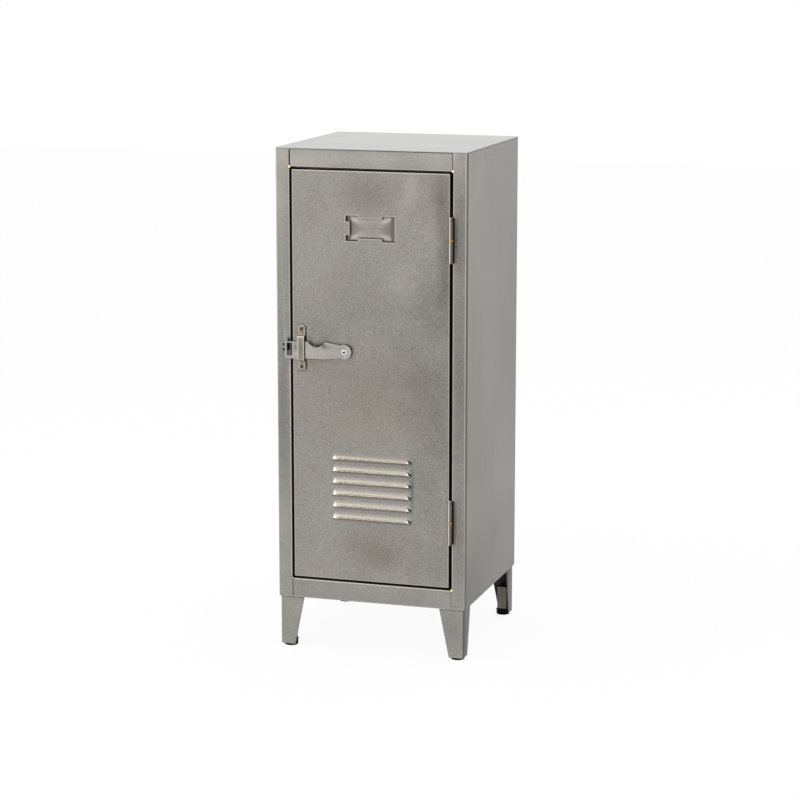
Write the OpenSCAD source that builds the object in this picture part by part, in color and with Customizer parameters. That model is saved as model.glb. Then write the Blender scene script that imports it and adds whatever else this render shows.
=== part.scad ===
// One-door sheet steel locker on four folded legs.
// The front faces -Y, +Z is up, and the origin lies on the ground under the middle of the bounding box.

/* [Cabinet body] */
// Width over the side panels
body_w = 310; // [280:1:400]
// Depth from the face of the frame to the back
body_d = 305; // [240:1:450]
// Height of the body, without its legs
body_h = 720; // [660:1:1000]
// Thickness of the steel sheet
sheet_t = 1.2; // [0.8:0.1:1.5]
// Inside radius of every fold in the body and door
fold_r = 0.8; // [0.5:0.1:1.4]
// Width of the upright frame stile beside the hinges
stile_w = 22; // [19:0.5:30]
// Width of the upright frame stile beside the latch
latch_stile_w = 23; // [19:0.5:30]
// Height of the rail above the door
top_rail_h = 30; // [20:0.5:50]
// Height of the rail below the door
bottom_rail_h = 31; // [24:0.5:50]
// Depth of the folded jamb round the door opening
jamb_d = 24; // [22:0.5:32]
// Width of the stop lip behind the door
stop_w = 9; // [7:0.5:14]
// Width of the flanges folded round the back
rear_flange_w = 18; // [10:1:30]
// Width of the grooves left where rails meet stiles and top
seam_w = 0.4; // [0.2:0.1:0.8]
// Depth of those grooves
seam_d = 0.6; // [0.3:0.1:0.6]

/* [Door] */
// Gap beside the door on the latch side
gap_latch = 3.2; // [2.5:0.1:5]
// Gap beside the door on the hinge side
gap_hinge = 4.4; // [4:0.1:5]
// Gap above and below the door
gap_ends = 3.3; // [2.5:0.1:5]
// Depth of the door's folded edges
door_d = 18; // [12:0.5:18.5]
// Width of the lips folded in behind the door
door_lip_w = 10; // [6:0.5:14]

/* [Card holder] */
// Width of the pressed card recess
card_w = 80; // [60:1:100]
// Height of the card recess
card_h = 39.9; // [30:0.1:50]
// Distance from the door's top edge down to the recess
card_drop = 69.3; // [50:0.1:150]
// Depth of the recess behind the skin
card_d = 3.4; // [2.5:0.1:6]
// Width of the middle tabs that hold the card at top and bottom
card_tab_w = 39; // [20:1:50]
// Reach of those tabs over the recess
card_tab_h = 4.6; // [3:0.2:7]
// Height of the tab that holds the card's end
card_end_tab_h = 21; // [12:1:28]
// Reach of the end tab
card_end_tab_w = 6.5; // [4:0.5:10]
// Rise of the creased pillow in the recess
card_pillow = 1.8; // [0.5:0.1:2.4]
// Length and height of the pillow's flat middle
card_pillow_flat = [38, 12]; // [4:1:40]

/* [Louvres] */
// How many louvres the door has
louvre_count = 6; // [2:1:8]
// Distance from one louvre to the next
louvre_pitch = 19.1; // [15:0.1:24]
// Length of a louvre
louvre_len = 130; // [60:1:170]
// Height of a louvre's hood
louvre_h = 11; // [8:0.5:14]
// How far a hood stands out
louvre_out = 4.2; // [3:0.1:5.5]
// Distance from the door's bottom edge to the lowest lip
louvre_rise = 101; // [60:0.5:150]
// Sideways offset of the louvres from the door's middle
louvre_shift = 2.2; // [-10:0.1:10]

/* [Hinges] */
// Length of a hinge barrel
hinge_len = 72; // [50:1:100]
// Outer radius of a hinge barrel
knuckle_r = 3.5; // [3.2:0.1:3.9]
// Distance from the upper hinge's middle to the top of the body
upper_hinge_in = 135.5; // [90:0.5:180]
// Distance from the lower hinge's middle to the bottom of the body
lower_hinge_in = 140.5; // [90:0.5:180]
// How far the hinge axis stands in front of the face
hinge_out = 2.8; // [2.6:0.1:3.6]
// Radius of the hinge pin
pin_r = 2; // [1.6:0.1:2.2]
// Radial clearance of the pin in the door's knuckle
pin_play = 0.06; // [0.03:0.01:0.1]
// Radial clearance of the pin in the frame's knuckle
pin_seat_play = 0.03; // [0.02:0.01:0.05]
// Thickness of the brass washer between the knuckles
washer_t = 2.2; // [1:0.1:3]
// How far the washer stands proud of the barrel
washer_proud = 0.3; // [0.1:0.1:0.5]
// Clearance between the washer and the door's knuckle
washer_play = 0.05; // [0.02:0.01:0.2]
// Thickness of a hinge leaf
leaf_t = 1.5; // [1:0.1:1.7]
// Reach of a leaf behind the face
leaf_d = 15; // [8:0.5:17]
// Solid length that closes a knuckle's outer end
knuckle_cap = 4; // [2:0.5:8]
// Chamfer at the outer end of a knuckle
knuckle_chamfer = 0.9; // [0.3:0.1:1.5]
// Distance from the top of a hinge down to the groove under its cap
groove_drop = 3.1; // [2:0.1:6]
// Width of that groove
groove_w = 0.5; // [0.3:0.1:0.8]
// Depth of that groove
groove_d = 0.3; // [0.2:0.1:0.5]
// Clearance at each end of the pin
pin_end_play = 0.4; // [0.1:0.1:1]
// Chamfer at the top of the pin
pin_chamfer = 0.5; // [0.3:0.1:1]

/* [Latch lever] */
// Height of the lever's pivot above the bottom of the body
pivot_z = 403; // [250:0.5:500]
// Distance from the door's edge to the lever's pivot
pivot_in = 87.4; // [75:0.2:110]
// Thickness of the lever plate
lever_t = 2; // [1.5:0.1:2.5]
// Space between the lever and the door
lever_gap = 3; // [2.6:0.1:4]
// Radius of the lever's round head
head_r = 11.7; // [10:0.1:14]
// Height of the lever above the pivot at its outer end
lever_up = 12.8; // [12.4:0.1:14]
// Height of the lever below the pivot
lever_down = 14.1; // [12:0.1:15]
// Distance from the pivot to the highest point of the lever's upper edge
hump_reach = 31.5; // [25:0.5:33]
// Rise of that point over the outer end
hump_rise = 1.4; // [0.5:0.1:2.5]
// Distance from the pivot to where the lever's lower edge turns straight
belly_reach = 29; // [20:0.5:36]
// Where the upper edge leaves the head, outward and upward from the pivot
neck_top = [6, 10.4]; // [4:0.1:11]
// Where the lower edge leaves the head, outward and upward from the pivot
neck_bottom = [8, -10.3]; // [-11:0.1:9]
// Radius of the lever's outer corners
lever_corner_r = 1.5; // [0.5:0.1:2]
// Width of the bar that closes the slot at the lever's end
lever_end_bar = 3.7; // [3:0.1:6]
// Height of the slot above the pivot
slot_up = 10.6; // [9.6:0.1:11]
// Depth of the slot below the pivot
slot_down = 9.8; // [9:0.1:11]
// Space in the slot beside the hook, towards the lever's end
slot_play_out = 1.1; // [0.8:0.1:2]
// Space in the slot beside the hook, towards the door
slot_play_in = 5; // [2:0.1:6]
// Radius of the thumb notch in the lever's upper edge
notch_r = 14; // [10:0.5:18]
// Distance from the pivot to the middle of the thumb notch
notch_reach = 46.5; // [40:0.5:52]
// Height of the notch's lowest point above the pivot
notch_floor = 7.5; // [5:0.5:9]
// Width of the thumb tab
tab_w = 10; // [6:0.5:12]
// How far the thumb tab stands out from the door's face
tab_out = 13; // [11:0.5:20]
// Inside radius of the thumb tab's fold
tab_fold_r = 1.2; // [0.8:0.1:2]
// Radius of the pivot rivet's shank
rivet_r = 2.4; // [2:0.1:3]
// Radius of the pivot rivet's head
rivet_head_r = 3.7; // [3.4:0.1:5]
// Height of the pivot rivet's head
rivet_head_h = 1.2; // [0.8:0.1:2]
// Radius of the hole in the middle of the rivet
rivet_hole_r = 1.1; // [0.6:0.1:1.4]
// Radial clearance of the lever on its rivet
rivet_play = 0.06; // [0.03:0.01:0.1]
// Clearance between the lever and what it slides against
lever_play = 0.1; // [0.05:0.05:0.3]
// Radius of the spacer behind the lever's head
spacer_r = 7; // [5:0.5:9]

/* [Latch guide] */
// Distance from the door's edge to the middle of the guide strap
guide_in = 15.8; // [10:0.2:20]
// Width of the guide strap
guide_w = 11.5; // [9:0.5:16]
// Thickness of the guide strap
guide_t = 1.5; // [1:0.1:2]
// Space between the lever and the strap's bridge
guide_play = 0.6; // [0.4:0.1:1]
// Inside radius of the strap's folds
guide_fold_r = 1; // [0.6:0.1:1.2]
// Radius of the strap's four corners
guide_corner_r = 4; // [1:0.5:4.5]
// Height of the bridge's inside above the pivot
guide_up = 21; // [20.5:0.5:24]
// Depth of the bridge's inside below the pivot
guide_down = 16.2; // [16:0.1:18]
// Height of the strap's upper end above the pivot
guide_top = 39.5; // [36:0.5:50]
// Depth of the strap's lower end below the pivot
guide_bottom = 33.2; // [31:0.1:45]
// Distance from a strap end to its rivet
guide_rivet_in = 6.2; // [5:0.1:8]
// Radius of a guide rivet's shank
guide_rivet_r = 1.8; // [1.4:0.1:2.2]
// Radius of a guide rivet's head
guide_rivet_head_r = 2.8; // [2.5:0.1:3.6]
// Height of a guide rivet's head
guide_rivet_head_h = 0.6; // [0.4:0.1:1]
// Radius of the hole in a guide rivet
guide_rivet_hole_r = 1.3; // [0.5:0.1:1.3]
// Radial clearance round every fixed rivet
rivet_seat_play = 0.05; // [0.02:0.01:0.1]
// Margin of the backing plate round the latch's rivets
backing_margin = 10; // [6:0.5:14]

/* [Keeper] */
// Thickness of the hook plate
hook_t = 2; // [1.5:0.1:2.2]
// How far the hook stands out from the face
hook_out = 9.5; // [8.5:0.1:12]
// Depth of the hook's underside below the pivot
hook_down = 1.2; // [0:0.1:2]
// Height of the hook's root above the pivot
hook_root_up = 16.5; // [12:0.5:18]
// Height of the hook's nose above its throat
nose_h = 1.9; // [1:0.1:2.2]
// Clearance between the nose and the slot's upper edge
nose_play = 0.4; // [0.2:0.1:0.8]
// Clearance before and behind the lever in the hook's throat
throat_play = 0.6; // [0.4:0.1:1]
// Chamfer on the nose's front corner
nose_chamfer = 1.3; // [0.5:0.1:1.8]
// Width of the keeper's base behind the stile
keeper_base_w = 15; // [12:0.5:17]
// Distance from the body's side to the keeper rivets
keeper_rivet_x = 11.6; // [8:0.1:12]
// Heights of the two keeper rivets above the pivot
keeper_rivet_up = [7.2, -1.2]; // [-6:0.1:12]
// Radius of a keeper rivet's shank
keeper_rivet_r = 1.3; // [1:0.1:1.6]
// Radius of a keeper rivet's head
keeper_rivet_head_r = 2; // [1.8:0.1:2.6]
// Height of a keeper rivet's head
keeper_rivet_head_h = 0.8; // [0.5:0.1:1.2]
// Clearance of the hook in its slit
slit_play = 0.2; // [0.1:0.1:0.5]

/* [Legs and feet] */
// Height of the leg sheets below the body
leg_h = 79; // [50:1:140]
// Gap between the leg sheets and the ground
leg_clear = 4; // [2:0.5:7]
// Thickness of the leg sheets
leg_t = 1.5; // [1.2:0.1:2]
// Outer radius of the legs' fold
leg_fold_r = 3.5; // [2.5:0.5:5]
// Width of a leg's flanges where they meet the body
leg_top_w = 40; // [32:0.5:55]
// Width of the flanges at the bottom
leg_bottom_w = 24; // [23:0.5:30]
// Height of leg hidden inside the body
leg_in = 15; // [8:1:20]
// Radius of a rubber foot
foot_r = 11; // [8:0.5:11]
// Height of a foot
foot_h = 8.7; // [8:0.1:12]
// Chamfer round the lower edge of a foot
foot_chamfer = 0.8; // [0.4:0.1:2]
// Space between a foot and the leg
foot_play = 0.3; // [0.1:0.1:0.6]
// Outer size of the square socket tube
socket_w = 16; // [12:0.5:16]
// Wall of the socket tube
socket_wall = 1.5; // [1:0.1:2]
// Height of the socket tube
socket_h = 39; // [20:1:45]
// How far that plate's round edge reaches past the foot
socket_plate_reach = 1.5; // [1:0.1:2]
// Thickness of the plate that carries the socket
socket_plate_t = 1; // [0.8:0.1:3]
// Radius of the foot's stem
stem_r = 4; // [3:0.1:4]
// Length of the foot's stem
stem_h = 12; // [8:0.5:20]
// Clearance round the stem
stem_play = 0.1; // [0.05:0.05:0.3]

/* [Shelf] */
// Height of the shelf's top above the bottom of the body
shelf_z = 470; // [100:5:560]
// Distance from the face to the shelf's front edge
shelf_in = 32; // [30:1:60]
// Depth of the shelf's folded front and back edges
shelf_lip_h = 15; // [8:1:25]
// Gap between the shelf and the side panels
shelf_gap = 0.8; // [0.5:0.1:2]
// Size of the angle rails under the shelf
shelf_rail_w = 14; // [10:1:20]

/* [Braze and buffers] */
// Radius of the braze beads at the corners of the door opening
bead_r = 1.9; // [1.2:0.1:2.2]
// Height of the beads
bead_h = 1.1; // [0.6:0.1:1.2]
// Distance from the opening's edge to the middle of a bead
bead_off = 0.9; // [0.5:0.1:1.5]
// Radius of the small bead at the top of the left stile
small_bead_r = 0.9; // [0.5:0.1:1.2]
// Radius of a rubber door buffer
buffer_r = 3.4; // [2.5:0.1:3.5]
// Gap between a buffer and the closed door
buffer_gap = 0.3; // [0.1:0.1:0.6]
// Distance from a buffer to the end of the door
buffer_in = 60; // [30:1:100]

/* [Hidden] */
$fn = 64;

// Extra length that lets a cut run past a face
cut = 1;

// Folded sheet
bend_r = sheet_t + fold_r;

// Places of the body. Depths count from the face, heights from the bottom of the body.
front_reach = max(tab_out, hook_out);
left_x = -body_w / 2;
face_y = (front_reach - body_d) / 2;
body_z = leg_clear + leg_h;
open_x0 = latch_stile_w;
open_x1 = body_w - stile_w;
open_z0 = bottom_rail_h;
open_z1 = body_h - top_rail_h;
inner_top = body_h - sheet_t;
back_in = body_d - sheet_t;

// Places of the door
door_x0 = open_x0 + gap_latch;
door_x1 = open_x1 - gap_hinge;
door_z0 = open_z0 + gap_ends;
door_z1 = open_z1 - gap_ends;
door_mid = (door_x0 + door_x1) / 2;

// Hinge axis and heights
hinge_x = open_x1 - gap_hinge / 2;
upper_hinge_z = body_h - upper_hinge_in;
lower_hinge_z = lower_hinge_in;

// Latch, counted outward from the face
pivot_x = door_x0 + pivot_in;
lever_back = lever_gap;
lever_front = lever_gap + lever_t;
bridge_in = lever_front + guide_play;
bridge_out = bridge_in + guide_t;
guide_x = door_x0 + guide_in;
guide_bend_r = guide_t + guide_fold_r;
guide_hi = pivot_z + guide_up + guide_t;
guide_lo = pivot_z - guide_down - guide_t;
guide_rivet_z = [pivot_z + guide_top - guide_rivet_in, pivot_z - guide_bottom + guide_rivet_in];

// Hook plate and the slot that drops over it
hook_x1 = latch_stile_w - sheet_t;
hook_x0 = hook_x1 - hook_t;
slot_x0 = hook_x0 - slot_play_out;
slot_x1 = hook_x1 + slot_play_in;
lever_x0 = slot_x0 - lever_end_bar;
nose_top = pivot_z + slot_up - nose_play;
throat_z = nose_top - nose_h;
throat_in = lever_back - throat_play;
throat_out = lever_front + throat_play;

// Legs and feet, counted inward from the body's side and its face
leg_x = 2 * sheet_t;
leg_y = sheet_t;
foot_in = leg_t + foot_play + foot_r;
plate_w = leg_bottom_w - leg_t - 1;

// Card recess
card_x0 = door_mid - card_w / 2;
card_z1 = door_z1 - card_drop;
card_z0 = card_z1 - card_h;

// Shelf, counted inward from the face and upward from the bottom of the body
shelf_back = back_in - sheet_t - shelf_gap;

// Puts a drawing of the front, x from the body's left side and y from its bottom, from p0 to p1
// out from the face
module on_face(p0, p1) {
    translate([left_x, face_y - p0, body_z])
        rotate([90, 0, 0])
            linear_extrude(p1 - p0) children();
}

// Runs a side drawing, x backward from the face and y up from the bottom of the body, from x0 to x1
module along_x(x0, x1) {
    translate([left_x + x0, face_y, body_z])
        rotate([90, 0, 90])
            linear_extrude(x1 - x0) children();
}

// Runs a plan drawing, x from the body's left side and y backward from the face, from z0 to z1
module along_z(z0, z1) {
    translate([left_x, face_y, body_z + z0])
        linear_extrude(z1 - z0) children();
}

// Quarter ring of a fold round a centre; quadrant 0 is +x +y and they count anticlockwise
module bend(x, y, quadrant, r = bend_r, t = sheet_t) {
    translate([x, y]) rotate(90 * quadrant)
        intersection() {
            difference() {
                circle(r);
                circle(r - t);
            }
            square(r);
        }
}

// Rectangle drawn between two corners
module box_2d(x0, y0, x1, y1) {
    translate([x0, y0]) square([x1 - x0, y1 - y0]);
}

// Rectangle with four round corners
module rounded_2d(x0, y0, x1, y1, r) {
    box_2d(x0 + r, y0, x1 - r, y1);
    box_2d(x0, y0 + r, x1, y1 - r);
    for (x = [x0 + r, x1 - r], y = [y0 + r, y1 - r])
        translate([x, y]) circle(r);
}

// Plan of a side panel with a stile of width w; the jamb and its stop lip run only beside the door
module side_section(w, jamb) {
    box_2d(0, bend_r, sheet_t, body_d - bend_r);
    bend(bend_r, bend_r, 2);
    bend(bend_r, body_d - bend_r, 1);
    box_2d(bend_r, body_d - sheet_t, rear_flange_w, body_d);
    if (jamb) {
        box_2d(bend_r, 0, w - bend_r, sheet_t);
        bend(w - bend_r, bend_r, 3);
        box_2d(w - sheet_t, bend_r, w, jamb_d - bend_r);
        bend(w - sheet_t + bend_r, jamb_d - bend_r, 1);
        box_2d(w - sheet_t + bend_r, jamb_d - sheet_t, w + stop_w, jamb_d);
    } else {
        box_2d(bend_r, 0, w, sheet_t);
    }
}

// Side panel drawn on the left with a stile of width w, before any holes
module plain_side_panel(w) {
    along_z(0, open_z0) side_section(w, false);
    along_z(open_z0, open_z1) side_section(w, true);
    along_z(open_z1, inner_top) side_section(w, false);
}

// Side panel with its stile, slit for the hook and holed for the keeper's rivets
module left_side_panel() {
    color("#8f8c85")
    difference() {
        plain_side_panel(latch_stile_w);
        on_face(-sheet_t - cut, cut) {
            box_2d(hook_x0 - slit_play, pivot_z - hook_down - slit_play,
                hook_x1, pivot_z + hook_root_up + slit_play);
            for (up = keeper_rivet_up)
                translate([keeper_rivet_x, pivot_z + up])
                    circle(keeper_rivet_r + rivet_seat_play);
        }
    }
}

module right_side_panel() {
    color("#8f8c85")
    mirror([1, 0, 0]) plain_side_panel(stile_w);
}

// Back sheet behind the rear flanges' inside
module back_panel() {
    color("#8a877f")
    along_z(sheet_t, inner_top)
        box_2d(bend_r + sheet_t, back_in - sheet_t, body_w - bend_r - sheet_t, back_in);
}

// Flat top sheet over the side panels, rails and back
module top_panel() {
    color("#c9c9c6")
    along_z(inner_top, body_h)
        rounded_2d(0, 0, body_w, body_d, bend_r);
}

// Floor tray with flanges turned down inside the side panels
module bottom_panel() {
    floor_z = bottom_rail_h - sheet_t;
    color("#85827b") {
        along_z(floor_z - sheet_t, floor_z) {
            box_2d(bend_r + sheet_t, bend_r, body_w - bend_r - sheet_t, back_in - sheet_t);
            box_2d(sheet_t, bend_r + sheet_t, body_w - sheet_t, back_in - bend_r);
        }
        for (x = [sheet_t, body_w - 2 * sheet_t])
            along_z(sheet_t, floor_z)
                box_2d(x, bend_r + sheet_t, x + sheet_t, back_in - bend_r);
    }
}

// Side drawing of a rail: face going down from the opening's edge, jamb and stop lip
module rail_section(h) {
    box_2d(0, -h, sheet_t, -bend_r);
    bend(bend_r, -bend_r, 1);
    box_2d(bend_r, -sheet_t, jamb_d - bend_r, 0);
    bend(jamb_d - bend_r, bend_r - sheet_t, 3);
    box_2d(jamb_d - sheet_t, bend_r - sheet_t, jamb_d, stop_w);
}

// Rail with its face below the opening's edge, which lies at height 0
module rail(h) {
    difference() {
        along_x(open_x0, open_x1) rail_section(h);
        for (x = [open_x0, open_x1])
            along_x(x - stop_w - seam_w, x + stop_w + seam_w)
                box_2d(bend_r, 0, jamb_d + cut, stop_w + cut);
        for (x = [open_x0, open_x1 - seam_w])
            along_x(x, x + seam_w)
                box_2d(-cut, -h - cut, seam_d, cut);
    }
}

// Rail above the door, upside down, with a groove under the top sheet
module top_rail() {
    color("#8f8c85")
    difference() {
        translate([0, 0, open_z1 + 2 * body_z])
            mirror([0, 0, 1]) rail(top_rail_h - sheet_t);
        along_x(open_x0 - cut, open_x1 + cut)
            box_2d(-cut, inner_top - seam_w, seam_d, inner_top + cut);
    }
}

module bottom_rail() {
    color("#8f8c85")
    translate([0, 0, open_z0]) rail(bottom_rail_h);
}

// Loose shelf with its front and back edges folded down
module shelf() {
    x0 = sheet_t + shelf_gap;
    x1 = body_w - sheet_t - shelf_gap;
    color("#8a877f") {
        along_x(x0, x1) {
            box_2d(shelf_in + bend_r, shelf_z - sheet_t, shelf_back - bend_r, shelf_z);
            bend(shelf_in + bend_r, shelf_z - bend_r, 1);
            bend(shelf_back - bend_r, shelf_z - bend_r, 0);
            for (y = [shelf_in, shelf_back - sheet_t])
                box_2d(y, shelf_z - shelf_lip_h, y + sheet_t, shelf_z - bend_r);
        }
    }
}

// Angle rail on the left side panel that carries the shelf
module left_shelf_rail() {
    top = shelf_z - sheet_t;
    color("#85827b")
    on_face(2 * bend_r - shelf_back, -shelf_in - 2 * bend_r) {
        box_2d(sheet_t, top - shelf_rail_w, 2 * sheet_t, top - bend_r);
        bend(sheet_t + bend_r, top - bend_r, 1);
        box_2d(sheet_t + bend_r, top - sheet_t, sheet_t + shelf_rail_w, top);
    }
}

module right_shelf_rail() {
    mirror([1, 0, 0]) left_shelf_rail();
}

// Outline of a leg's flange, x from its outer fold, y from the bottom of the body
module leg_taper() {
    polygon([[0, -leg_h], [leg_bottom_w, -leg_h], [leg_top_w, 0], [leg_top_w, leg_in], [0, leg_in]]);
}

// Folded leg with two tapered flanges, at the front left corner
module leg() {
    color("#97948d")
    translate([left_x + leg_x, face_y + leg_y, body_z])
        intersection() {
            translate([0, 0, -leg_h]) linear_extrude(leg_h + leg_in) {
                box_2d(leg_fold_r, 0, leg_top_w, leg_t);
                box_2d(0, leg_fold_r, leg_t, leg_top_w);
                bend(leg_fold_r, leg_fold_r, 2, leg_fold_r, leg_t);
            }
            translate([0, leg_top_w, 0]) rotate([90, 0, 0])
                linear_extrude(leg_top_w) leg_taper();
            rotate([90, 0, 90]) linear_extrude(leg_top_w) leg_taper();
        }
}

// Places a child drawn at the front left corner foot, with the ground at height 0
module at_foot() {
    translate([left_x + leg_x + foot_in, face_y + leg_y + foot_in, 0]) children();
}

// Square tube on a plate inside the leg, which the foot's stem goes up into
module foot_socket() {
    edge = leg_t - foot_in;
    color("#6f6c66")
    at_foot()
        difference() {
            union() {
                translate([0, 0, foot_h]) linear_extrude(socket_plate_t)
                    intersection() {
                        box_2d(edge, edge, edge + plate_w, edge + plate_w);
                        circle(foot_r + socket_plate_reach);
                    }
                translate([-socket_w / 2, -socket_w / 2, foot_h])
                    cube([socket_w, socket_w, socket_h]);
            }
            translate([0, 0, foot_h - cut])
                cylinder(h = socket_plate_t + 2 * cut, r = stem_r + stem_play);
            translate([socket_wall - socket_w / 2, socket_wall - socket_w / 2, foot_h + socket_plate_t])
                cube([socket_w - 2 * socket_wall, socket_w - 2 * socket_wall, socket_h]);
        }
}

// Rubber foot with a chamfered lower edge and a stem
module foot() {
    c = foot_chamfer;
    color("#141414")
    at_foot() {
        cylinder(h = c, r1 = foot_r - c, r2 = foot_r);
        translate([0, 0, c]) cylinder(h = foot_h - c, r = foot_r);
        cylinder(h = foot_h + stem_h, r = stem_r);
    }
}

// Moves a front left corner piece to the right
module to_right() {
    mirror([1, 0, 0]) children();
}

// Moves a front corner piece to the back, inside the back panel
module to_back() {
    translate([0, 2 * face_y + body_d - sheet_t, 0])
        mirror([0, 1, 0]) children();
}

module front_left_leg() { leg(); }
module front_right_leg() { to_right() leg(); }
module back_left_leg() { to_back() leg(); }
module back_right_leg() { to_back() to_right() leg(); }
module front_left_foot_socket() { foot_socket(); }
module front_right_foot_socket() { to_right() foot_socket(); }
module back_left_foot_socket() { to_back() foot_socket(); }
module back_right_foot_socket() { to_back() to_right() foot_socket(); }
module front_left_foot() { foot(); }
module front_right_foot() { to_right() foot(); }
module back_left_foot() { to_back() foot(); }
module back_right_foot() { to_back() to_right() foot(); }

// Brass beads where the rails meet the stiles at the opening, and a small one on top of the left seam
module braze_beads() {
    color("#c9a24a") {
        for (x = [open_x0, open_x1]) {
            bead(x, open_z0 - bead_off, bead_r, bead_h);
            bead(x, open_z1 + bead_off, bead_r, bead_h);
        }
        bead(open_x0, inner_top - small_bead_r, small_bead_r, small_bead_r / 2);
    }
}

// Low round bead on the face
module bead(x, z, r, h) {
    round_r = (r * r + h * h) / (2 * h);
    translate([left_x + x, face_y, body_z + z])
        rotate([90, 0, 0])
            rotate_extrude()
                intersection() {
                    translate([0, h - round_r]) circle(round_r);
                    square([r, h]);
                }
}

// Two rubber pads on the stop lip that the door closes against
module door_buffers() {
    color("#1a1a1a")
    for (z = [door_z0 + buffer_in, door_z1 - buffer_in])
        on_face(sheet_t - jamb_d, -door_d - buffer_gap)
            translate([open_x0 + stop_w - buffer_r, z]) circle(buffer_r);
}

// Hook plate folded from a base riveted behind the stile, out through the slit and the lever's slot
module keeper_hook() {
    low = pivot_z - hook_down;
    color("#1c1b1a")
    difference() {
        union() {
            along_x(hook_x0, hook_x1)
                polygon([
                    [sheet_t + hook_t, low],
                    [-hook_out, low],
                    [-hook_out, nose_top - nose_chamfer],
                    [nose_chamfer - hook_out, nose_top],
                    [-throat_out, nose_top],
                    [-throat_out, throat_z],
                    [-throat_in, throat_z],
                    [-throat_in, pivot_z + hook_root_up],
                    [sheet_t + hook_t, pivot_z + hook_root_up]
                ]);
            on_face(-sheet_t - hook_t, -sheet_t)
                box_2d(hook_x1 - keeper_base_w, low, hook_x1, pivot_z + hook_root_up);
        }
        on_face(-sheet_t - hook_t - cut, cut)
            for (up = keeper_rivet_up)
                translate([keeper_rivet_x, pivot_z + up])
                    circle(keeper_rivet_r + rivet_seat_play);
    }
}

// Solid rivet through the stile and the keeper's base
module keeper_rivets() {
    color("#161616")
    for (up = keeper_rivet_up)
        translate([left_x + keeper_rivet_x, face_y, body_z + pivot_z + up])
            rotate([90, 0, 0]) {
                cylinder(h = keeper_rivet_head_h, r1 = keeper_rivet_head_r, r2 = keeper_rivet_r);
                translate([0, 0, -sheet_t - hook_t - keeper_rivet_head_h])
                    cylinder(h = sheet_t + hook_t + keeper_rivet_head_h, r = keeper_rivet_r);
                translate([0, 0, -sheet_t - hook_t - keeper_rivet_head_h])
                    cylinder(h = keeper_rivet_head_h, r = keeper_rivet_head_r);
            }
}

// Places a child on the hinge axis at a height above the bottom of the body
module at_hinge(z) {
    translate([left_x + hinge_x, face_y - hinge_out, body_z + z]) children();
}

// Lower knuckle and its leaf on the jamb, bored from above for the pin
module frame_knuckle(z) {
    half = (hinge_len - washer_t) / 2;
    low = -hinge_len / 2;
    color("#98958e")
    at_hinge(z)
        difference() {
            union() {
                translate([0, 0, low])
                    cylinder(h = knuckle_chamfer, r1 = knuckle_r - knuckle_chamfer, r2 = knuckle_r);
                translate([0, 0, low + knuckle_chamfer])
                    cylinder(h = half - knuckle_chamfer, r = knuckle_r);
                translate([gap_hinge / 2 - leaf_t, 0, low + 2 * knuckle_chamfer])
                    cube([leaf_t, hinge_out + leaf_d, half - 3 * knuckle_chamfer]);
            }
            translate([0, 0, low + knuckle_cap])
                cylinder(h = half, r = pin_r + pin_seat_play);
        }
}

// Upper knuckle and its leaf on the door's edge, with a grooved cap and a bore from below
module door_knuckle(z) {
    half = (hinge_len - washer_t) / 2 - washer_play;
    low = washer_t / 2 + washer_play;
    color("#98958e")
    at_hinge(z)
        difference() {
            union() {
                translate([0, 0, low]) cylinder(h = half - knuckle_chamfer, r = knuckle_r);
                translate([0, 0, low + half - knuckle_chamfer])
                    cylinder(h = knuckle_chamfer, r1 = knuckle_r, r2 = knuckle_r - knuckle_chamfer);
                translate([-gap_hinge / 2, 0, low + knuckle_chamfer])
                    cube([leaf_t, hinge_out + leaf_d, half - 3 * knuckle_chamfer - knuckle_cap]);
            }
            translate([0, 0, low - cut])
                cylinder(h = half - knuckle_cap + cut, r = pin_r + pin_play);
            translate([0, 0, low + half - groove_drop - groove_w])
                difference() {
                    cylinder(h = groove_w, r = knuckle_r + cut);
                    cylinder(h = groove_w, r = knuckle_r - groove_d);
                }
        }
}

// Pin that stands in the frame's knuckle and rises into the door's
module hinge_pin(z) {
    half = hinge_len / 2 - knuckle_cap - pin_end_play;
    c = pin_chamfer;
    color("#a8a6a0")
    at_hinge(z) {
        translate([0, 0, -half]) cylinder(h = 2 * half - c, r = pin_r);
        translate([0, 0, half - c]) cylinder(h = c, r1 = pin_r, r2 = pin_r - c);
    }
}

// Brass ring between the knuckles
module hinge_washer(z) {
    color("#b8923e")
    at_hinge(z)
        translate([0, 0, -washer_t / 2])
            difference() {
                cylinder(h = washer_t, r = knuckle_r + washer_proud);
                translate([0, 0, -cut]) cylinder(h = washer_t + 2 * cut, r = pin_r + pin_play);
            }
}

module upper_frame_knuckle() { frame_knuckle(upper_hinge_z); }
module lower_frame_knuckle() { frame_knuckle(lower_hinge_z); }
module upper_door_knuckle() { door_knuckle(upper_hinge_z); }
module lower_door_knuckle() { door_knuckle(lower_hinge_z); }
module upper_hinge_pin() { hinge_pin(upper_hinge_z); }
module lower_hinge_pin() { hinge_pin(lower_hinge_z); }
module upper_hinge_washer() { hinge_washer(upper_hinge_z); }
module lower_hinge_washer() { hinge_washer(lower_hinge_z); }

// Rectangle whose two corners at the smaller y are round
module front_rounded_2d(x0, y0, x1, y1, r) {
    box_2d(x0 + r, y0, x1 - r, y1);
    box_2d(x0, y0 + r, x1, y1);
    for (x = [x0 + r, x1 - r])
        translate([x, y0 + r]) circle(r);
}

// Block of the door's outside, or of its inside when it is inset, open at the back
module door_block(inset, back, r) {
    intersection() {
        along_z(door_z0 + inset, door_z1 - inset)
            front_rounded_2d(door_x0 + inset, inset, door_x1 - inset, back, r);
        along_x(door_x0 + inset, door_x1 - inset)
            mirror([1, 1, 0]) rotate(180)
                front_rounded_2d(door_z0 + inset, inset, door_z1 - inset, back, r);
    }
}

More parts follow.
